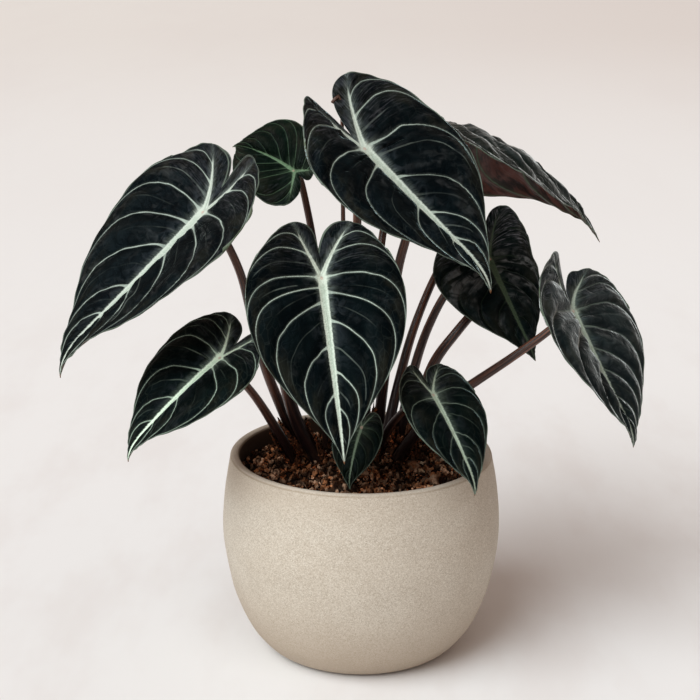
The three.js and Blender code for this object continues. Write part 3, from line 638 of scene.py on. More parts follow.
def bend_blade(flat, side, b):
    """Bends the flat pattern and sets it in its place."""
    s = 0 if side > 0 else 1
    u, v = flat[..., 0], flat[..., 1]
    mean = sum(b["lobe"]) / 2
    v = np.where(v < 0, v * (mean + (b["lobe"][s] - mean) * smooth(u / 0.12)), v)
    u = u * b["wide"] * (b["right"] if side > 0 else 1 / b["right"]) * (1 - b["taper"] * (v - 0.3))
    line = np.linspace(-0.7, 1.3, 401)
    angle = np.where(line > 0, -b["bow"] * line, -b["back"] * line)
    angle = angle - b["hook"] * np.clip((line - 0.7) / 0.3, 0, 1.5) ** 2
    mid = (angle[1:] + angle[:-1]) / 2
    ys = np.concatenate([[0], np.cumsum(np.cos(mid))]) * 0.005
    zs = np.concatenate([[0], np.cumsum(np.sin(mid))]) * 0.005
    ys, zs = ys - np.interp(0, line, ys), zs - np.interp(0, line, zs)
    th, my, mz = np.interp(v, line, angle), np.interp(v, line, ys), np.interp(v, line, zs)
    q = np.clip(-v / 0.3, 0, 1.3)
    a = b["fold"][s] + b["lift"][s] * q * q * (3 - 2 * np.minimum(q, 1))
    c = max(b["curl"][s] / 0.42, 1e-4)
    bent = a - c * u
    x = side * (np.sin(a) - np.sin(bent)) / c
    w = (np.cos(bent) - np.cos(a)) / c
    tw = b["twist"] * v
    xr = x * np.cos(tw) - w * np.sin(tw) + np.where(v > 0, b["sweep"], b["sway"]) * v * v * 0.5
    wr = x * np.sin(tw) + w * np.cos(tw)
    lateral, tip, normal = blade_frame(b)
    return (np.array(b["at"]) + (xr[..., None] * lateral + (my - wr * np.sin(th))[..., None] * tip
                                 + (mz + wr * np.cos(th))[..., None] * normal) * b["size"])


def line_distance(points, line, width):
    """Distance from each point to the border of a tapering line, both in the flat pattern."""
    a, d = line[:-1], line[1:] - line[:-1]
    best = np.full(len(points), 1e9)
    for i in range(len(a)):
        rel = points - a[i]
        f = np.clip((rel @ d[i]) / max(d[i] @ d[i], 1e-12), 0, 1)
        off = np.hypot(*(rel - f[:, None] * d[i]).T)
        best = np.minimum(best, off - (width[i] * (1 - f) + width[i + 1] * f) / 2)
    return best


def spread(breaks, step):
    """Row positions that hit every break, about a step apart."""
    out = [breaks[0]]
    for lo, hi in zip(breaks[:-1], breaks[1:]):
        n = max(2, int(round((hi - lo) / step)))
        out.extend(lo + (hi - lo) * np.arange(1, n + 1) / n)
    return np.array(out)


def vein_phase(b, s, rows, t):
    """Where points lie between the side veins of their half: each whole number is a vein.
    A vein leaves the midrib at its row and turns to the tip near the margin."""
    starts = np.array([0.0, *sorted([*b["mains"][s], 7.0, 8.0]), float(LAST_ROW)])
    gaps = np.diff(starts, prepend=0)
    gaps[-1] = 0
    now = starts - 0.75 * gaps * (t[..., None] / 0.95) ** 4
    phase = np.zeros(np.shape(rows))
    for i in range(len(starts) - 1):
        span = np.maximum(now[..., i + 1] - now[..., i], 1e-6)
        phase += np.clip((rows - now[..., i]) / span, 0, 1)
    place = np.stack([t * 5 + b["size"], phase * 0.9 + s * 7, 0 * phase], -1)
    stray = random_field(place, 1, 6) + 0.5 * random_field(place * (2.3, 1, 1), 1, 7)
    phase += KINK * stray * smooth(t / 0.12) * smooth((0.97 - t) / 0.1) * (phase > 0.5)
    return phase, len(starts) - 1


def vein_pitch(phase, flat):
    """Length over which the phase grows by one, on a grid of points of the flat pattern."""
    (phase_row, phase_t), (flat_row, flat_t) = np.gradient(phase), np.gradient(flat, axis=(0, 1))
    area = flat_row[..., 0] * flat_t[..., 1] - flat_row[..., 1] * flat_t[..., 0]
    area = np.where(np.abs(area) < 1e-9, 1e-9, area)
    gx = (phase_row * flat_t[..., 1] - phase_t * flat_row[..., 1]) / area
    gy = (phase_t * flat_row[..., 0] - phase_row * flat_t[..., 0]) / area
    return np.clip(1 / np.maximum(np.hypot(gx, gy), 1e-6), 0, 0.4)


def blade_relief(b, side, flat, rows, t, grain, spot, pitch, rib, vein, between, edge, lobe):
    """Height over the bent pattern: fields swell between the veins, and the edge waves."""
    size, pucker = b["size"], b["pucker"]
    nearest = np.maximum(np.minimum(rib, vein), 0)
    pillow = 1 - np.exp(-((nearest / (0.036 * size)) ** 1.15))
    pillow -= 0.30 * np.exp(-((between / (0.012 * size)) ** 2)) * smooth(nearest / (0.03 * size))
    pillow *= 0.12 + 0.88 * smooth(edge / (0.085 * size))
    ripple = random_field(grain * (1 / 13, 1 / 4.2, 1), 1, 1)
    ripple += 0.45 * random_field(grain * (1 / 6, 1 / 2.1, 1), 1, 2)
    ripple *= smooth(pitch / (0.09 * size))
    ripple += 0.6 * random_field(spot * (1 / 6.5, 1 / 6.5, 1), 1, 3)
    ripple *= smooth(nearest / 2.5) * smooth(edge / 4)
    wave = t ** 2 * np.sin(rows * 2.9 + side * 1.3 + size) * np.minimum(1, rows / 2)
    scallop = t ** 5 * np.sin(rows * 10.3 + side * 2.1 + size) * np.minimum(1, rows)
    swell = size * (QUILT * pucker * pillow + WAVE * wave + SCALLOP * scallop + RIPPLE * pucker * ripple)
    inside = size * (0.005 * np.sin(np.pi * t) * smooth(-flat[:, 1] / 0.12) + 0.0016 * ripple)
    return np.where(lobe, inside, swell)


def vein_measures(b, s, k, t):
    """Phase, pitch and width of the side veins, and the strength of the faint ones, on the half's grid."""
    size = b["size"]
    phase, last = vein_phase(b, s, k, t)
    pitch = vein_pitch(phase, blade_field(k, t)) * size
    q = np.clip(t / 0.94, 0, 1)
    width = 0.0018 + 0.0042 * (1 - q) ** 1.4 + 0.016 * np.exp(-((t / 0.085) ** 2))
    width *= (size * (1 - smooth((q - 0.80) / 0.20)) * (1 - 0.35 * smooth((k - LOBE_ROW) / 0.8))
              * (0.55 + 0.45 * smooth(k / 3)))
    width[(phase < 0.5) | (phase > last - 0.5)] = -1
    gap = np.floor(phase)
    strength = 0.25 + 0.75 * np.sin(gap * 2.7 + s + size) ** 2
    strength *= (1 - smooth((t - 0.25 - 0.4 * np.sin(gap * 5.1 + size) ** 2) / 0.25)) * (pitch > 0.07 * size)
    return np.stack([phase, pitch, width], -1).reshape(-1, 3), strength.ravel()


def half_blade(b, s, ks, ts, number):
    """One half of the blade: its points, their rise, what MEASURES names for each, and the triangles."""
    side, size = (1, -1)[s], b["size"]
    # rows run from the tip to the end of the lobe; the lobe has an inner part besides
    k, t = np.meshgrid(ks, ts, indexing="ij")
    lobe_rows = ks[ks >= LOBE_ROW - 1e-9]
    down, inner_t = np.meshgrid(np.clip(-through(VEINS, lobe_rows)[:, 0], 0, 1), np.linspace(0, 1, 17),
                                indexing="ij")
    flat = np.concatenate([part.reshape(-1, 2)
                           for part in (blade_field(k, t), blade_inner(down, inner_t, b["notch"]))])
    rows = np.concatenate([k.ravel(), np.repeat(lobe_rows, inner_t.shape[1])])
    t_all = np.concatenate([t.ravel(), inner_t.ravel()])
    count, outer_count = len(flat), k.size
    lobe = np.arange(count) >= outer_count
    # distances to the ribs, the veins and the edge
    q = np.linspace(0, 1, 60)
    rib_width = RIB_WIDTH * min(1, RIB_SIZE / size) * (1 - q) ** 0.7 + 0.003
    rib = line_distance(flat, np.stack([0 * q, q], -1), rib_width)
    lobe_width = LOBE_RIB_WIDTH * (1 - q) ** 1.2 + 0.002 - 0.020 * smooth((q - 0.70) / 0.28)
    rib = np.minimum(rib, line_distance(flat, rib_line(-q), lobe_width)) * size
    veins = np.zeros((count, 3))
    veins[:] = 0.25, AWAY, 0
    minor = np.zeros(count)
    veins[:outer_count], minor[:outer_count] = vein_measures(b, s, k, t)
    off = np.abs(veins[:, 0] - np.round(veins[:, 0]))
    vein = np.full(count, AWAY)
    vein[:outer_count] = (off * veins[:, 1] - veins[:, 2] / 2)[:outer_count]
    between = np.where(lobe, AWAY, (0.5 - off) * veins[:, 1] + 3 * (1 - minor))
    border = through(MARGIN, np.linspace(0, len(MARGIN) - 1, 121))
    edge = line_distance(flat, border, np.zeros(121)) * size
    edge[t_all > 0.999] = 0
    # coordinates for the patterns: grain follows the fields, spot lies flat
    foot = through(VEINS, rows)
    end = through(MARGIN, np.clip(foot[:, 1], 0, APEX))
    reach = np.linalg.norm(end - rib_line(np.clip(foot[:, 0], -1, 1)), axis=-1) * size
    grain = np.stack([t_all * reach, rows * size * 0.16, np.full(count, number * 7.3 + s * 3.1)], -1)
    grain[lobe] = np.stack([-flat[lobe, 1] * size, flat[lobe, 0] * size + 60, grain[lobe, 2]], -1)
    spot = np.stack([flat[:, 0] * size * side, flat[:, 1] * size, np.full(count, number * 9.1)], -1)
    rise = blade_relief(b, side, flat, rows, t_all, grain, spot, veins[:, 1], rib, vein, between, edge, lobe)
    swell = rise / (size * QUILT * b["pucker"])
    outer = np.arange(outer_count).reshape(k.shape)
    inner = np.arange(down.size).reshape(down.shape) + outer_count
    triangles = np.concatenate([grid_triangles(outer), grid_triangles(inner)[:, ::-1]])
    measures = np.column_stack([rib, vein, minor, edge, grain, spot, veins, swell])
    return bend_blade(flat, side, b), rise, measures, triangles if side > 0 else triangles[:, ::-1]


# columns of the measures that half_blade returns
VEIN_COLUMN = 1
MEASURES = {"rib": 0, "minor": 2, "edge": 3, "grain": slice(4, 7), "place": slice(7, 10),
            "veins": slice(10, 13), "swell": 13}


def build_blade(name, number):
    """A closed blade of two halves, velvet above and on the edge, reddish below."""
    b = {**PLAIN, **BLADES[name]}
    row_step, across = (0.11, 30) if b["size"] < 60 else (0.075, 45)
    breaks = sorted({0.0, *map(float, (*range(LOBE_ROW, LAST_ROW + 1), *b["mains"][0], *b["mains"][1]))})
    ks = spread(breaks, row_step)
    ts = np.linspace(0, 1, across)
    halves = [half_blade(b, s, ks, 0.8 * ts + 0.2 * smooth(ts), number) for s in (0, 1)]
    points, rise, measures = (np.concatenate([half[i] for half in halves]) for i in range(3))
    faces = np.concatenate([halves[0][3], halves[1][3] + len(halves[0][0])])
    # points of the two halves that lie together become one
    _, first, back = np.unique(np.round(points * 400).astype(np.int64), axis=0, return_index=True,
                               return_inverse=True)
    points, rise, measures = points[first], rise[first], measures[first]
    tri = no_slivers(back.ravel()[faces])
    normal = point_normals(points, tri)
    rib, vein, edge = (measures[:, column] for column in (MEASURES["rib"], VEIN_COLUMN, MEASURES["edge"]))
    # ribs and veins are grooves above and ridges below, and both fade out at the edge
    inward = smooth(edge / 2)
    thin = THICK * (0.42 + 0.58 * smooth(edge / 3))
    off_rib, off_vein = np.maximum(rib, 0) ** 2, np.maximum(vein, 0) ** 2
    groove = (0.25 * np.exp(-((rib + 0.5) ** 2)) + 0.12 * np.exp(-off_vein / 0.4)) * inward
    ridge = (0.9 * np.exp(-off_rib / 3) + 0.35 * np.exp(-off_vein / 0.6)) * inward
    top = points + normal * (rise + thin / 2 - groove)[:, None]
    low = points + normal * (rise - thin / 2 - ridge)[:, None]
    # a wall joins the two faces along the sides that belong to one triangle only
    n = len(points)
    edges = np.concatenate([tri[:, [0, 1]], tri[:, [1, 2]], tri[:, [2, 0]]])
    _, where, count = np.unique(np.sort(edges, axis=1), axis=0, return_index=True, return_counts=True)
    p, q = edges[where[count == 1]].T
    wall = np.concatenate([np.stack([p + n, q + n, q], -1), np.stack([p + n, q, p], -1)])
    which = np.repeat([0, 1, 0], [len(tri), len(tri), len(wall)])
    which_leaf = name.removeprefix("leaf_")
    paints = [velvet_paint("velvet_" + which_leaf, b), underside_paint("underside_" + which_leaf)]
    doubled = np.concatenate([measures, measures])
    return make_mesh("blade_" + which_leaf, np.concatenate([top, low]),
                     np.concatenate([tri, tri[:, ::-1] + n, wall]), paints, which,
                     {key: doubled[:, column] for key, column in MEASURES.items()})


# ---------------------------------------------------------------- stalks


def stalk_path(name, count):
    """Points along the stalk, evenly spaced, and its whole length."""
    radii, (x, y), way = STALKS[name]
    points = [(x, y, FOOT_Z - STALK_DEPTH), (x, y, FOOT_Z - STALK_DEPTH / 2), (x, y, FOOT_Z - 2), *way]
    b = BLADES.get(name.replace("stalk", "leaf"))
    if b:
        b = {**PLAIN, **b}
        normal = blade_frame(b)[2]
        droop = max(0, *(-math.tan(f) for f in b["fold"])) * radii[1] * 1.4
        end = np.array(b["at"]) - normal * (THICK / 2 + 0.3 + droop)
        points += [tuple(end - normal * STALK_END), tuple(end)]
    points = np.array(points, float)
    points = np.concatenate([[2 * points[0] - points[1]], points, [2 * points[-1] - points[-2]]])
    curve = []
    for i in range(1, len(points) - 2):
        p0, p1, p2, p3 = points[i - 1:i + 3]
        d0, d1, d2 = (max(np.linalg.norm(q - p) ** 0.5, 1e-4) for p, q in ((p0, p1), (p1, p2), (p2, p3)))
        t1 = ((p1 - p0) / d0 - (p2 - p0) / (d0 + d1) + (p2 - p1) / d1) * d1
        t2 = ((p2 - p1) / d1 - (p3 - p1) / (d1 + d2) + (p3 - p2) / d2) * d1
        u = np.linspace(0, 1, 40, endpoint=i == len(points) - 3)[:, None]
        curve.append(p1 + t1 * u + (3 * (p2 - p1) - 2 * t1 - t2) * u ** 2
                     + (2 * (p1 - p2) + t1 + t2) * u ** 3)
    curve = np.concatenate(curve)
    run = np.concatenate([[0], np.cumsum(np.linalg.norm(np.diff(curve, axis=0), axis=1))])
    at = np.linspace(0, run[-1], count)
    return np.stack([np.interp(at, run, curve[:, c]) for c in range(3)], -1), run[-1]


def tube_frames(path):
    """Directions along the path and to two sides of it, turning as little as they can."""
    tangent = np.gradient(path, axis=0)
    tangent /= np.linalg.norm(tangent, axis=1, keepdims=True)
    side, sides = np.array([1.0, 0, 0]), []
    for t in tangent:
        side = side - t * (side @ t)
        side = side / np.linalg.norm(side)
        sides.append(side)
    sides = np.array(sides)
    return tangent, sides, np.cross(tangent, sides)


def around(side, other, angle):
    """Directions at an angle around a path."""
    return side * np.cos(angle)[..., None] + other * np.sin(angle)[..., None]


def build_stalk(name, number, paint):
    radii = STALKS[name][0]
    path, length = stalk_path(name, STALK_RINGS)
    tangent, side, other = tube_frames(path)
    n, m = STALK_RINGS, STALK_SIDES
    s = np.linspace(0, 1, n)
    run = s * length
    radius = radii[0] + (radii[1] - radii[0]) * (1 - (1 - s) ** 1.6)
    has_blade = name != "stalk_old"
    if has_blade:  # the swollen joint below the blade
        radius = radius * (1 + 0.10 * np.exp(-((length - run - STALK_END) / 5) ** 2))
        radius[-1] *= 0.6
        path = path.copy()
        path[-1] += tangent[-1] * 0.35
    # ribbed along its length, and flatter on one side near the foot
    a, up = np.linspace(0, 2 * np.pi, m, endpoint=False)[None, :], (run - STALK_DEPTH)[:, None]
    ribs = 1 + 0.018 * np.cos(a * 9 + run[:, None] * 0.02) + 0.012 * np.cos(a * 14 + number)
    flat_side = 1 - 0.10 * smooth((45 - up) / 45) * (np.cos(a + number) > 0)
    r = radius[:, None] * ribs * flat_side
    points = path[:, None] + around(side[:, None], other[:, None], a) * r[..., None]
    index = np.arange(n * m).reshape(n, m)
    first, last = index[0], index[-1]
    caps = [(first[0], first[i + 1], first[i]) for i in range(1, m - 1)]
    caps += [(last[0], last[i], last[i + 1]) for i in range(1, m - 1)]
    left = (length - run)[:, None] if has_blade else 200
    run, up, left, a = np.broadcast_arrays(run[:, None], up, left, a)
    grain = np.stack([a * 4, run, 0 * a + number * 5.7], -1).reshape(-1, 3)
    return make_mesh(name.replace("stalk", "stem"), points.reshape(-1, 3),
                     np.concatenate([close_round(index), np.array(caps)]), [paint], None,
                     {"grain": grain, "up": up.ravel(), "left": left.ravel()})


def sheath_paint():
    p = Paint("dry_sheath")
    fibre = p.noise(p.stretch(p.vector("grain"), 1.3, 0.12, 1), 1, 4, 0.6)
    colour = p.blend(p.ramp(fibre, 0.35, 0.65), SHEATH_DARK, SHEATH_TAN)
    return p.finish(colour, 0.75, fibre, 0.0006, 0.8, specular=0.25)


def build_sheaths():
    """Torn papery sheaths around the feet of the stalks, two on each, as one thin closed shell each."""
    points, triangles, grain = [], [], []
    start = 0
    u, v = np.meshgrid(np.linspace(-1, 1, 23), np.linspace(0, 1, 16), indexing="ij")
    n = u.size
    for number, name in enumerate(STALKS):
        radius = STALKS[name][0][0]
        if radius < SHEATHED_RADIUS:
            continue
        path, length = stalk_path(name, STALK_RINGS)
        run = np.linspace(0, length, len(path)) - STALK_DEPTH
        side, other = tube_frames(path)[1:]
        for turn in range(2):
            rnd = np.random.default_rng(100 + number * 5 + turn)
            reach = rnd.uniform(9, 24) if turn else rnd.uniform(14, 34)
            torn = 1 - 0.75 * np.abs(u) ** 1.6 + 0.07 * np.sin(u * 17 + number) + 0.05 * np.sin(u * 41 + turn)
            along = -3 + v * (reach * torn + 3)
            a = rnd.uniform(0, 6.28) + u * (1.9 - 0.7 * v)
            centre, s1, s2 = (np.stack([np.interp(along, run, line[:, c]) for c in range(3)], -1)
                              for line in (path, side, other))
            flare = 0.35 + 0.5 * turn + rnd.uniform(0.4, 1.6) * v ** 3 + 0.25 * np.sin(a * 7) * v
            r = (radius + flare)[..., None]
            outward = around(s1, s2, a)
            points += [(centre + outward * r).reshape(-1, 3), (centre + outward * (r - 0.3)).reshape(-1, 3)]
            index = np.arange(n).reshape(u.shape) + start
            border = np.concatenate([index[:, 0], index[-1, 1:], index[-2::-1, -1], index[0, -2:0:-1]])
            p, q = border, np.roll(border, -1)
            triangles += [grid_triangles(index), grid_triangles(index)[:, ::-1] + n,
                          np.stack([q, p, p + n], -1), np.stack([q, p + n, q + n], -1)]
            grain += [np.stack([a * 5, along, 0 * a + number], -1).reshape(-1, 3)] * 2
            start += 2 * n
    return make_mesh("dry_sheaths", np.concatenate(points), np.concatenate(triangles), [sheath_paint()], None,
                     {"grain": np.concatenate(grain)})


def stalk_paint():
    """Streaked reddish skin, near black at the foot, olive below the blade and dusty at the soil."""
    p = Paint("stalk_skin")
    grain, up, left = p.vector("grain"), p.value("up"), p.value("left")
    streak = p.noise(p.stretch(grain, 0.55, 0.02, 1), 1, 5, 0.65)
    speck = p.noise(p.stretch(grain, 1.4, 0.35, 1), 1, 3)
    colour = p.blend(p.ramp(streak, 0.40, 0.68), STALK_DARK, STALK_RED)
    colour = p.blend(p.times(p.ramp(speck, 0.55, 0.75), 0.4), colour, STALK_SPECK)
    foot = p.ramp(p.plus(up, p.times(streak, 60)), 110, 50)
    colour = p.blend(p.times(foot, 0.88), colour, STALK_FOOT)
    colour = p.blend(p.times(p.ramp(left, 26, 2), 0.55), colour, STALK_TOP)
    dust_and_highlight = p.times(p.ramp(up, 16, 2), p.ramp(speck, 0.4, 0.65))
    colour = p.blend(p.times(dust_and_highlight, 0.7), colour, STALK_DUST)
    return p.finish(colour, 0.33, p.plus(streak, p.times(speck, 0.3)), 0.0004, 0.6, specular=0.42)


# ---------------------------------------------------------------- pot


def turned_body(name, profile, segments, paint, shape=None, values=None):
    """A body turned about Z from a profile that starts and ends on the axis."""
    profile = np.asarray(profile, float)
    a = np.linspace(0, 2 * np.pi, segments, endpoint=False)
    rings, points, start = [], [], 0
    for r, z in profile:
        if r < 1e-6:
            rings.append(np.full(segments, start))
            points.append(np.array([[0, 0, z]]))
            start += 1
        else:
            rings.append(np.arange(segments) + start)
            points.append(np.stack([r * np.cos(a), r * np.sin(a), np.full(segments, z)], -1))
            start += segments
    points = np.concatenate(points)
    if shape is not None:
        points = shape(points)
    ring_values = {key: np.concatenate([np.full(1 if r < 1e-6 else segments, v)
                                        for v, (r, _) in zip(column, profile)])
                   for key, column in (values or {}).items()}
    return make_mesh(name, points, close_round(np.array(rings)), [paint], None, ring_values)


def stoneware_paint():
    """Unglazed sandy stoneware with painted shade at the foot and inside; heights in metres mark foot,
    shoulder and lip.
    """
    p = Paint("stoneware")
    where = p.where()
    up = p.axis(where, 2)
    cloud = p.noise(p.stretch(where, 10, 10, 16), 1, 4)
    mottle = p.noise(where, 60, 2, 0.5)
    grit = p.axis(p.speckle(where, 2100.0, out=1), 0)
    dust_and_highlight = p.noise(where, 2600, 2, 0.7)
    dots = p.speckle(where, 900.0)
    pits = p.speckle(where, 210.0)
    colour = p.blend(p.ramp(cloud, 0.35, 0.68), STONE_WARM, STONE_PALE)
    for share, tone in (
            (p.times(p.ramp(mottle, 0.40, 0.70), 0.16), STONE_MOTTLE),
            (p.times(p.ramp(grit, 0.50, 1.0), 0.62), STONE_GRIT),
            (p.times(p.ramp(grit, 0.45, 0.0), 0.50), STONE_SPARK),
            (p.times(p.ramp(dust_and_highlight, 0.45, 0.65), 0.35), STONE_DUST),
            (p.times(p.ramp(dots, 0.24, 0.14), 0.45), STONE_DOT),
            # painted shade: darker and warmer towards the foot
            (p.times(p.ramp(up, 0.065, 0.0), 0.72), STONE_FOOT_SHADE),
            (p.times(p.ramp(up, 0.098, 0.119), p.ramp(cloud, 0.35, 0.65, 0.1, 0.4)), STONE_SHOULDER),
            # painted shade inside the pot
            (p.value("inner"), STONE_INSIDE_SHADE),
            (p.times(p.ramp(up, 0.1223, 0.1228), p.ramp(up, 0.1237, 0.1232),
                     p.ramp(cloud, 0.3, 0.6, 0.15, 0.6)), STONE_LINE),
            # lighter along the top of the lip
            (p.times(p.ramp(up, 0.1235, 0.1241), p.ramp(mottle, 0.3, 0.7, 0.25, 0.65)), STONE_LIP_TOP)):
        colour = p.blend(share, colour, tone)
    height = p.plus(p.times(mottle, 0.5), p.times(grit, 0.12), p.times(p.ramp(pits, 0.04, 0.10), 0.6))
    return p.finish(colour, 0.82, height, 0.0002, 0.35, specular=0.22)


def build_pot():
    outside = through(POT_OUTSIDE, np.linspace(0, len(POT_OUTSIDE) - 1, 60))
    lip = through(POT_LIP, np.linspace(0, len(POT_LIP) - 1, 20))
    inside = through(POT_INSIDE, np.linspace(0, len(POT_INSIDE) - 1, 36))
    profile = np.concatenate([[(0, 0), (25, 0)], outside, lip, inside, [(24, 8), (0, 8)]])

    def uneven(points):
        r = np.hypot(points[:, 0], points[:, 1])
        off = 0.18 * random_field(points * (1, 1, 2.2), 22, 3) + 0.05 * random_field(points * (1, 1, 3), 5, 4)
        off = off * (points[:, 2] > 4) * (r > 60)
        outward = points * (1, 1, 0) / np.maximum(r, 1)[:, None]
        return points + outward * off[:, None]

    # painted shade inside the pot: the wall darkens over the last rings of the lip
    turning = 5
    inner = np.concatenate([np.zeros(2 + len(outside) + len(lip) - turning), np.linspace(0, 1, turning),
                            np.ones(len(inside) + 2)])
    return turned_body("stoneware_pot", profile, POT_SEGMENTS, stoneware_paint(), uneven, {"inner": inner})


# ---------------------------------------------------------------- soil


def soil_height(x, y):
    r = np.hypot(x, y)
    lump = np.sin(x * 0.21 + y * 0.07) * np.cos(y * 0.18 - x * 0.05) + 0.5 * np.sin(x * 0.43 - y * 0.31)
    mound = SOIL_MOUND * np.exp(-((r / SOIL_MOUND_RADIUS) ** 2))
    return SOIL_EDGE + mound + SOIL_LUMP * lump * (1 - np.minimum(r / 84, 1) ** 6)


def soil_paint():
    p = Paint("potting_soil")
    where = p.where()
    coarse = p.noise(where, 180, 5, 0.65)
    fine = p.noise(where, 900, 3, 0.6)
    colour = p.blend(p.ramp(coarse, 0.35, 0.65), SOIL_BLACK, SOIL_BROWN)
    colour = p.blend(p.times(p.ramp(fine, 0.55, 0.75), 0.6), colour, SOIL_FLECK)
    return p.finish(colour, 0.9, p.plus(coarse, p.times(fine, 0.4)), 0.0012, 0.9, specular=0.2)


def build_soil():
    """The whole body of soil, with crumbs of three sizes in its upper face."""
    profile = [(r, SOIL_EDGE) for r in np.linspace(0, SOIL_RADIUS, 130)] + SOIL_BELOW

    def rough(points):
        x, y, z = points.T
        top = z >= SOIL_EDGE - 0.01
        crumbs = sum(height * random_field(points, grain, seed)
                     for height, grain, seed in ((1.5, 5.5, 1), (0.9, 2.4, 2), (0.4, 1.1, 5)))
        crumbs = crumbs * smooth((76 - np.hypot(x, y)) / 3) + 0.6
        return np.stack([x, y, np.where(top, soil_height(x, y) + crumbs - 0.9, z)], -1)

    return turned_body("potting_mix", profile[::-1], SOIL_SEGMENTS, soil_paint(), rough)


def chip_paint(name):
    """Dark damp chips with dry bright ones between, tan or rusty."""
    dark, bright, rarity = CHIP_COLOURS[name]
    p = Paint(name)
    where = p.where()
    fibre = p.noise(p.stretch(where, 1600, 500, 900), 1, 4, 0.6)
    damp = p.ramp(p.noise(where, 60, 3, 0.6), 0.42, 0.56, 0.10, 1.0)
    rusty = p.ramp(p.noise(where, 170, 2, 0.5), 0.42, 0.58)
    dry = p.blend(rusty, bright, tuple(c * share for c, share in zip(bright, RUSTY)))
    colour = p.blend(p.times(p.math("POWER", p.value("tone"), rarity), damp), dark, dry)
    colour = p.blend(p.times(p.ramp(fibre, 0.45, 0.7), 0.55), colour, tuple(c * 0.35 for c in dark))
    return p.finish(colour, 0.85, fibre, 0.0006, 0.8, specular=0.06)


def scatter_tree(name, material, lump):
    """Strews broken chips or lumps over a surface; every size is a named input."""
    tree = bpy.data.node_groups.new(name, "GeometryNodeTree")
    face = tree.interface
    face.new_socket("Geometry", in_out="INPUT", socket_type="NodeSocketGeometry")
    for label, default in (("Density", 40000.0), ("Length", 0.004), ("Width", 0.7), ("Height", 0.5),
                           ("Smallest", 0.4), ("Ragged", 0.3), ("Tilt", 0.6), ("Lift", 0.0005)):
        face.new_socket(label, in_out="INPUT", socket_type="NodeSocketFloat").default_value = default
    face.new_socket("Seed", in_out="INPUT", socket_type="NodeSocketInt").default_value = 1
    face.new_socket("Geometry", in_out="OUTPUT", socket_type="NodeSocketGeometry")
    add = partial(add_node, tree)
    given = tree.nodes.new("NodeGroupInput").outputs
    length, seed, tilt = given["Length"], given["Seed"], given["Tilt"]

    def share_of_length(share):
        return add("ShaderNodeMath", (0, length), (1, given[share]), operation="MULTIPLY")

    def random_number(low, high, seed):
        return add("FunctionNodeRandomValue", (2, low), (3, high), ("Seed", seed), out=1, data_type="FLOAT")

    # one chip on each spot, turned and sized at random
    spots = add("GeometryNodeDistributePointsOnFaces", ("Mesh", given["Geometry"]),
                ("Density", given["Density"]), ("Seed", seed))
    if lump:
        chip = add("GeometryNodeMeshIcoSphere", ("Radius", 0.5), ("Subdivisions", 1))
    else:
        chip = add("GeometryNodeMeshCube", ("Size", (1.0, 1.0, 1.0)), ("Vertices X", 3), ("Vertices Y", 3),
                   ("Vertices Z", 2))
    turn = add("FunctionNodeRandomValue", (0, (-1.0, -1.0, -3.2)), (1, (1.0, 1.0, 3.2)), ("Seed", seed),
               data_type="FLOAT_VECTOR")
    tilts = add("ShaderNodeCombineXYZ", (0, tilt), (1, tilt), (2, 1.0))
    turn = add("ShaderNodeVectorMath", (0, turn), (1, tilts), operation="MULTIPLY")
    shape = add("ShaderNodeCombineXYZ", (0, length), (1, share_of_length("Width")),
                (2, share_of_length("Height")))
    scale = add("ShaderNodeVectorMath", (0, shape), (1, random_number(given["Smallest"], 1.0, seed)),
                operation="MULTIPLY")
    placed = add("GeometryNodeInstanceOnPoints", ("Points", spots), ("Instance", chip), ("Rotation", turn),
                 ("Scale", scale))
    toned = add("GeometryNodeStoreNamedAttribute", ("Geometry", placed), ("Name", "tone"),
                ("Value", random_number(0.0, 1.0, TONE_SEED)), domain="INSTANCE")
    real = add("GeometryNodeRealizeInstances", ("Geometry", toned))
    # their corners are pushed about, and the whole is lifted a little
    ragged = add("ShaderNodeTexNoise", ("Vector", add("GeometryNodeInputPosition")), ("Scale", RAGGED_GRAIN),
                 ("Detail", 2.0), out=1)
    off = add("ShaderNodeVectorMath", (0, ragged), (1, (0.5, 0.5, 0.5)), operation="SUBTRACT")
    off = add("ShaderNodeVectorMath", (0, off), ("Scale", share_of_length("Ragged")), operation="SCALE")
    lift = add("ShaderNodeCombineXYZ", (2, given["Lift"]))
    off = add("ShaderNodeVectorMath", (0, off), (1, lift), operation="ADD")
    moved = add("GeometryNodeSetPosition", ("Geometry", real), ("Offset", off))
    last = add("GeometryNodeSetMaterial", ("Geometry", moved), ("Material", material))
    tree.links.new(last, tree.nodes.new("NodeGroupOutput").inputs[0])
    return tree


def strew(name, surface, paint, lump=False):
    """Runs the scatter over the surface and keeps the result as a plain mesh."""
    tree = scatter_tree("strew_" + name, paint, lump)
    carrier = place_in_scene("carrier", surface.data.copy())
    modifier = carrier.modifiers.new("strew", "NODES")
    modifier.node_group = tree
    for item in tree.interface.items_tree:
        if item.in_out == "INPUT" and item.name.lower() in STREWN[name]:
            modifier[item.identifier] = STREWN[name][item.name.lower()]
    view = bpy.context.evaluated_depsgraph_get()
    mesh = bpy.data.meshes.new_from_object(carrier.evaluated_get(view), depsgraph=view)
    old = carrier.data
    bpy.data.objects.remove(carrier)
    bpy.data.meshes.remove(old)
    mesh.name = name
    mesh.polygons.foreach_set("use_smooth", np.zeros(len(mesh.polygons), bool))
    return place_in_scene(name, mesh)


def soil_top():
    """The part of the soil's surface that chips are strewn on, clear of the wall."""
    a = np.linspace(0, 2 * np.pi, 90, endpoint=False)
    r = np.linspace(0.5, 73.5, 30)
    rr, aa = np.meshgrid(r, a, indexing="ij")
    x, y = rr * np.cos(aa), rr * np.sin(aa)
    points = np.stack([x, y, soil_height(x, y)], -1).reshape(-1, 3)
    index = np.arange(rr.size).reshape(rr.shape)
    tri = grid_triangles(np.concatenate([index, index[:, :1]], axis=1))
    return make_mesh("soil_top", points, tri, [])


# ---------------------------------------------------------------- put it together


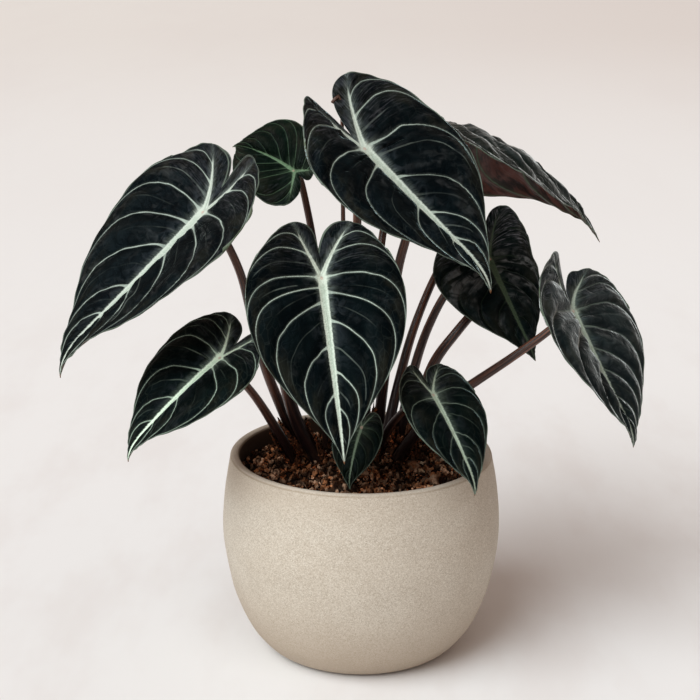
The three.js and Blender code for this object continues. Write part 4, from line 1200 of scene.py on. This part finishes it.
def keep(piece, node=None):
    """Hides the part of model.glb that the piece stands for, and hangs the piece on the plant's one body."""
    if node:
        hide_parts(node)
    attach(piece, "root")
    return piece


keep(build_pot(), "pot")
keep(build_soil(), "soil")
for number, name in enumerate(BLADES):
    keep(build_blade(name, number), name)
stem_paint = stalk_paint()
for number, name in enumerate(STALKS):
    keep(build_stalk(name, number, stem_paint), name)

sheaths = keep(build_sheaths())
top = soil_top()
dark_bark, tan_bark = chip_paint("dark_bark"), chip_paint("tan_bark")
keep(strew("bark_crumbs", top, dark_bark, lump=True))
keep(strew("bark_chips", top, tan_bark))
keep(strew("bark_chunks", top, tan_bark))
keep(strew("pale_grit", top, chip_paint("pale_grit")))
keep(strew("crown_crumbs", sheaths, dark_bark, lump=True))
bpy.data.objects.remove(top)

# ---------------------------------------------------------------- floor, light, camera


def floor_paint():
    """Matt pale ground, with painted shade making it darker and warmer far off; faint cloudy patches; lengths
    in metres.
    """
    p = Paint("pale_floor")
    ground = p.where()
    apart = p.add("ShaderNodeVectorMath", (0, ground), operation="LENGTH", out=1)
    # painted shade: the ground darkens and warms far off, more on the right
    far = p.blend(p.ramp(p.axis(ground, 0), -1.2, 1.6), FLOOR_FAR_LEFT_SHADE, FLOOR_FAR_RIGHT_SHADE)
    tone = p.blend(p.ramp(apart, 0.3, 5.0), FLOOR_NEAR, far)
    patches = []
    for stretch, reach in (((13, 4.5, 1), (1.4, 0.2, 0, 0.32)), ((2.4, 0.55, 1), (0.8, 2.5, 0, 0.20))):
        patch = p.noise(p.stretch(ground, *stretch), 1, 4, 0.6)
        patches.append(p.times(p.ramp(patch, 0.42, 0.70), p.ramp(apart, *reach)))
    return p.finish(p.blend(p.plus(*patches), tone, FLOOR_PATCH), 0.9, specular=0.1)


turn = np.linspace(0, 2 * np.pi, FLOOR_SIDES, endpoint=False)
disc = np.stack([FLOOR_RADIUS * np.cos(turn), FLOOR_RADIUS * np.sin(turn), 0 * turn], -1)
floor = make_mesh("floor", np.concatenate([[(0, 0, 0)], disc]),
                  [(0, 1 + i, 1 + (i + 1) % FLOOR_SIDES) for i in range(FLOOR_SIDES)], [floor_paint()])

world = bpy.data.worlds.new("studio")
bpy.context.scene.world = world
world.use_nodes = True
sky = world.node_tree.nodes["Background"]
sky.inputs["Color"].default_value = SKY
sky.inputs["Strength"].default_value = 0.39

for name, energy, softness, way in (("window_light", 2.48, 46, (0.64, 0.60, -1.0)),
                                    ("low_fill", 0.70, 40, (0.50, 0.75, -0.55))):
    sun = bpy.data.lights.new(name, "SUN")
    sun.energy = energy
    sun.angle = math.radians(softness)
    sun.color = DAYLIGHT
    place_in_scene(name, sun).rotation_euler = Vector(way).to_track_quat("-Z", "Y").to_euler()

camera = bpy.data.cameras.new("camera")
camera.lens = 85
camera.sensor_width = 36
camera.clip_end = 100
camera_object = place_in_scene("camera", camera)
camera_object.location = (-0.00687, -0.95877, 0.45314)
camera_object.rotation_euler = (math.radians(90 - 15.48), 0, 0)
bpy.context.scene.camera = camera_object
bpy.context.scene.view_settings.view_transform = "Standard"
